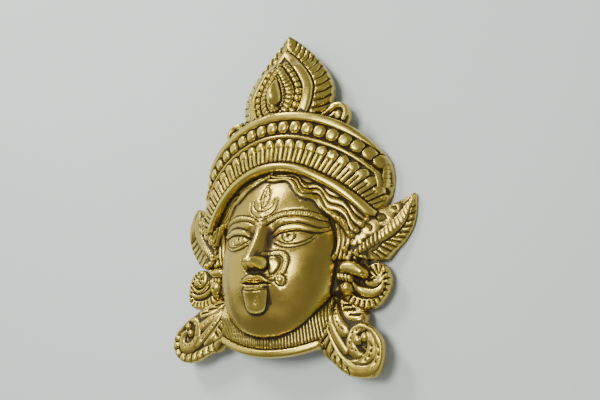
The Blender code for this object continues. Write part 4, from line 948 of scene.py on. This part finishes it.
def blurred(grid, known, radius):
    """mean of a grid's known values under a bell of that radius, by rows and then by columns"""
    reach = int(math.ceil(2.5 * radius / CELL))
    total, weight = np.where(known, grid, 0), known.astype(float)
    for axis in (0, 1):
        new_total, new_weight = np.zeros(grid.shape), np.zeros(grid.shape)
        for step in range(-reach, reach + 1):
            share = math.exp(-0.5 * (step * CELL / radius) ** 2)
            new_total += share * np.roll(total, step, axis)
            new_weight += share * np.roll(weight, step, axis)
        total, weight = new_total, new_weight
    return total / np.maximum(weight, 1e-9)


def kept_cells(edge):
    """grid squares inside the outline, without those that meet at one corner only"""
    corner = edge < 0.35 * CELL
    kept = corner[:-1, :-1] & corner[1:, :-1] & corner[:-1, 1:] & corner[1:, 1:]
    while True:
        a, b, c, d = kept[:-1, :-1], kept[:-1, 1:], kept[1:, :-1], kept[1:, 1:]
        pinched = (a & d & ~b & ~c) | (b & c & ~a & ~d)
        if not pinched.any():
            return kept
        for rows in (np.s_[:-1], np.s_[1:]):
            for columns in (np.s_[:-1], np.s_[1:]):
                kept[rows, columns] &= ~pinched


def shell_arrays(front, back):
    """corners and faces of the closed shell: front sheet, back sheet and the wall between them"""
    kept = kept_cells(front.edge)
    around = np.pad(kept, 1)
    quarters = (around[:-1, :-1].astype(int) + around[:-1, 1:] + around[1:, :-1] + around[1:, 1:])
    used, border = quarters > 0, (quarters > 0) & (quarters < 4)
    x, y = front.x.copy(), front.y.copy()
    slope_y, slope_x = np.gradient(front.edge, CELL)
    for _ in range(3):
        bx, by = x[border], y[border]
        gap = sample(front.edge, front, bx, by)
        gx, gy = sample(slope_x, front, bx, by), sample(slope_y, front, bx, by)
        size = np.maximum(gx ** 2 + gy ** 2, 0.09)
        x[border] -= np.clip(gap * gx / size, -0.5 * CELL, 0.5 * CELL)
        y[border] -= np.clip(gap * gy / size, -0.5 * CELL, 0.5 * CELL)
    index = np.cumsum(used.ravel()).reshape(used.shape) - 1
    count = int(used.sum())
    vx, vy = x[used], y[used]
    top = np.column_stack([vx, vy, sample(front.z, front, vx, vy)])
    under = np.column_stack([vx, vy, sample(back, front, vx, vy)])
    nw, ne, sw, se = index[1:, :-1], index[1:, 1:], index[:-1, :-1], index[:-1, 1:]
    sheet = np.column_stack([sw[kept], se[kept], ne[kept], nw[kept]])
    walls = []
    height, width = around.shape
    for down, across, first, second in ((-1, 0, sw, se), (0, 1, se, ne), (1, 0, ne, nw),
                                        (0, -1, nw, sw)):
        beyond = around[1 + down:height - 1 + down, 1 + across:width - 1 + across]
        lone = kept & ~beyond
        u, v = first[lone], second[lone]
        walls.append(np.column_stack([v, u, u + count, v + count]))
    faces = np.vstack([sheet, sheet[:, ::-1] + count] + walls)
    return np.vstack([top, under]), faces


def mesh_from(name, corners, faces):
    """a mesh of four-sided faces"""
    mesh = bpy.data.meshes.new(name)
    mesh.vertices.add(len(corners))
    mesh.vertices.foreach_set("co", np.ascontiguousarray(corners, np.float32).ravel())
    mesh.loops.add(faces.size)
    mesh.loops.foreach_set("vertex_index", faces.astype(np.int32).ravel())
    mesh.polygons.add(len(faces))
    starts = np.arange(0, faces.size, faces.shape[1], dtype=np.int32)
    mesh.polygons.foreach_set("loop_start", starts)
    mesh.update(calc_edges=True)
    mesh.validate()
    return mesh


def linked(name, data):
    """an object of that name in the scene"""
    thing = bpy.data.objects.new(name, data)
    bpy.context.scene.collection.objects.link(thing)
    return thing


def thinned(mesh, triangles):
    """a copy of the mesh with about that many triangles, fewest where it is flat"""
    carrier = linked("thinning", mesh)
    fewer = carrier.modifiers.new("fewer faces", "DECIMATE")
    fewer.ratio = min(1.0, triangles / (2 * len(mesh.polygons)))
    fewer.use_collapse_triangulate = True
    worked_out = carrier.evaluated_get(bpy.context.evaluated_depsgraph_get())
    result = bpy.data.meshes.new_from_object(worked_out)
    bpy.data.objects.remove(carrier, do_unlink=True)
    return result


def vectors(data, name):
    """a vector of each corner as rows of three numbers"""
    flat = np.empty(3 * len(data), np.float32)
    data.foreach_get(name, flat)
    return flat.reshape(-1, 3).astype(float)


def casting():
    """the whole mask as one closed mesh in metres, with its hollow, ridge and back attributes"""
    front, back = carve()
    corners, faces = shell_arrays(front, back)
    mesh = thinned(mesh_from("mask_casting", corners, faces), TRIANGLES)
    at, own = vectors(mesh.vertices, "co"), vectors(mesh.vertex_normals, "vector")

    def here(grid):
        return sample(grid, front, at[:, 0], at[:, 1])

    within = front.edge < 0
    height = np.where(within, front.z, blurred(front.z, within, 1.0))
    edge = here(front.edge)
    is_back = (at[:, 2] < 0.5 * (here(front.z) + here(back))) & (own[:, 2] < 0.3)
    slope_y, slope_x = np.gradient(height, CELL)
    exact = np.column_stack([-here(slope_x), -here(slope_y), np.ones(len(at))])
    exact /= np.linalg.norm(exact, axis=1, keepdims=True)
    trust = ramp(0.25, 0.6, own[:, 2]) * ramp(-0.6, -1.4, edge)
    normals = own + (exact - own) * np.where(is_back, 0, trust)[:, None]
    normals /= np.maximum(np.linalg.norm(normals, axis=1, keepdims=True), 1e-9)
    small, middle, wide = (here(blurred(height, within, radius) - height)
                           for radius in HOLLOW_RADII)
    # hollow sets patina and painted shade in recesses; ridge sets rubbed wear and a painted
    # highlight on raised edges
    values = {
        "hollow": np.clip(0.6 * middle + 0.06 * wide + 1.5 * small, -2, 2) * ramp(0, -2.5, edge),
        "ridge": np.clip(-1.3 * small - 0.7 * middle, 0, 1),
        "rear": is_back.astype(float)}
    values["hollow"][is_back] = 0.1
    values["ridge"][is_back] = 0
    for name, value in values.items():
        attribute = mesh.attributes.new(name, "FLOAT", "POINT")
        attribute.data.foreach_set("value", value.astype(np.float32))
    at[:, :2] -= DRAWING_MIDDLE
    mesh.vertices.foreach_set("co", (at * UNIT).astype(np.float32).ravel())
    mesh.update()
    mesh.shade_smooth()
    mesh.normals_split_custom_set_from_vertices(normals)
    return mesh


# the buffed colour is rubbed metal and a painted highlight on raised edges; the brown and the black
# are patina and painted shade in hollows, creases and grooves
BRASS, PALE_BRASS, BUFFED_AND_PAINTED_HIGHLIGHT = (0.50, 0.37, 0.068), (0.56, 0.40, 0.09), (0.84, 0.675, 0.14)
PATINA_AND_PAINTED_SHADE_BROWN, PATINA_AND_PAINTED_SHADE_BLACK = (0.25, 0.165, 0.04), (0.028, 0.018, 0.008)
DULL, PALE_DULL = (0.16, 0.11, 0.045), (0.33, 0.24, 0.1)


def worn_brass_and_painted_light():
    """olive gold brass: buffed and a painted highlight on ridges, brown black patina and painted
    shade in hollows, dull and rough behind
    """
    material = bpy.data.materials.new("worn_brass_and_painted_light")
    material.use_nodes = True
    nodes, links = material.node_tree.nodes, material.node_tree.links
    shader = nodes["Principled BSDF"]
    place = nodes.new("ShaderNodeTexCoord").outputs["Object"]

    def fill(sockets, values):
        for name, value in values.items():
            if isinstance(value, bpy.types.NodeSocket):
                links.new(value, sockets[name])
            else:
                sockets[name].default_value = (*value, 1) if isinstance(value, tuple) else value

    def node(kind, output, values, **settings):
        made = nodes.new("ShaderNode" + kind)
        for name, value in settings.items():
            setattr(made, name, value)
        fill(made.inputs, values)
        return made.outputs[output]

    def attribute(name):
        return node("Attribute", "Fac", {}, attribute_name=name)

    def noise(scale, detail, rough=0.5):
        return node("TexNoise", "Fac", {"Scale": scale, "Detail": detail, "Roughness": rough,
                                        "Vector": place})

    def maths(operation, first, second):
        return node("Math", 0, {0: first, 1: second}, operation=operation)

    def times(value, factor):
        return maths("MULTIPLY", value, factor)

    def between(value, low, high, new_low=0.0, new_high=1.0):
        return node("MapRange", "Result", {"Value": value, "From Min": low, "From Max": high,
                                           "To Min": new_low, "To Max": new_high},
                    interpolation_type="SMOOTHSTEP")

    def blend(share, first, second):
        return node("Mix", 2, {"Factor": share, 6: first, 7: second}, data_type="RGBA")

    cloud, speck, grain = noise(34, 5, 0.6), noise(900, 3), noise(2600, 2)
    # painted shade: the hollow attribute darkens recesses brown and near black, partly the
    # casting's patina and partly shade painted in
    hollow = maths("ADD", attribute("hollow"), times(maths("SUBTRACT", speck, 0.5), 0.18))
    dark = between(hollow, 0.1, 0.5)
    brown = between(hollow, 0.0, 0.36)
    # painted highlight: raised edges are lightened, partly rubbed wear and partly a highlight
    # painted in
    ridge_wear_and_painted_highlight = between(attribute("ridge"), 0.1, 0.6)
    rear = attribute("rear")
    colour = blend(between(cloud, 0.35, 0.65), BRASS, PALE_BRASS)
    for share, amount, coat in ((brown, 0.7, PATINA_AND_PAINTED_SHADE_BROWN), (ridge_wear_and_painted_highlight, 0.7, BUFFED_AND_PAINTED_HIGHLIGHT), (dark, 0.93, PATINA_AND_PAINTED_SHADE_BLACK),
                                (rear, 0.8, blend(cloud, DULL, PALE_DULL))):
        colour = blend(times(share, amount), colour, coat)
    rough = maths("ADD", between(noise(90, 4), 0.3, 0.7, 0.22, 0.31), times(dark, 0.35))
    height = maths("ADD", times(speck, 0.5), times(grain, 0.25))
    height = maths("ADD", height, times(noise(160, 3), 0.8))
    fill(shader.inputs, {
        "Base Color": colour,
        "Metallic": maths("SUBTRACT", 1.0, times(dark, 0.7)),
        "Roughness": maths("ADD", rough, times(rear, 0.25)),
        "Normal": node("Bump", "Normal", {"Strength": 0.2, "Distance": 0.0004, "Height": height})})
    return material


def floor():
    """a wide plain floor under the mask"""
    corners = 20.0 * np.array([(-1, -1, 0), (1, -1, 0), (1, 1, 0), (-1, 1, 0)])
    mesh = mesh_from("floor", corners, np.array([[0, 1, 2, 3]]))
    plain = bpy.data.materials.new("pale_floor")
    plain.use_nodes = True
    shader = plain.node_tree.nodes["Principled BSDF"]
    shader.inputs["Base Color"].default_value = (0.85, 0.94, 0.935, 1)
    shader.inputs["Roughness"].default_value = 0.85
    mesh.materials.append(plain)
    linked("floor", mesh)


def light(name, place, size, power, colour):
    """a round lamp that faces the mask"""
    lamp = bpy.data.lights.new(name, "AREA")
    lamp.shape = "DISK"
    lamp.size = size
    lamp.energy = power
    lamp.color = colour
    thing = linked(name, lamp)
    thing.location = place
    thing.rotation_euler = (-Vector(place)).to_track_quat("-Z", "Y").to_euler()


def studio():
    """a key from the upper left, a wide window on the left, a soft lamp above, a pale surround"""
    world = bpy.data.worlds.new("surround")
    bpy.context.scene.world = world
    world.use_nodes = True
    surround = world.node_tree.nodes["Background"]
    surround.inputs["Color"].default_value = (0.93, 0.93, 0.86, 1)
    surround.inputs["Strength"].default_value = 0.30
    light("key", (-0.72, 0.95, 0.85), 0.42, 11.5, (1, 0.99, 0.92))
    light("window", (-1.5, 0.25, 0.7), 1.4, 5, (0.95, 1, 0.96))
    light("spot", (-0.05, 0.1, 1.0), 0.45, 6.5, (0.97, 1, 0.92))


VIEWPOINT = (246.9, 12.3, 337.4)
VIEW_AXES = ((0.8225, 0.0528, -0.5664), (0.1017, 0.966, 0.2377), (0.5597, -0.2531, 0.7891))


def camera():
    """the photograph's view: a 35 mm lens from the mask's right and from below its face"""
    spot = (Vector(VIEWPOINT) - Vector((*DRAWING_MIDDLE, 0))) * UNIT
    lens = bpy.data.cameras.new("camera")
    lens.lens, lens.sensor_width, lens.sensor_fit = 35.0, 36.0, "HORIZONTAL"
    lens.clip_start = 0.01
    thing = linked("camera", lens)
    turn = Matrix(VIEW_AXES).transposed()
    thing.matrix_world = Matrix.Translation(spot) @ turn.to_4x4()
    bpy.context.scene.camera = thing


def main():
    """the casting in the place of its CAD part, with floor, lights and camera"""
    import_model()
    mask = linked("mask_cast", casting())
    mask.data.materials.clear()
    mask.data.materials.append(worn_brass_and_painted_light())
    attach(mask, "root")
    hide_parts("mask")
    floor()
    studio()
    camera()


main()
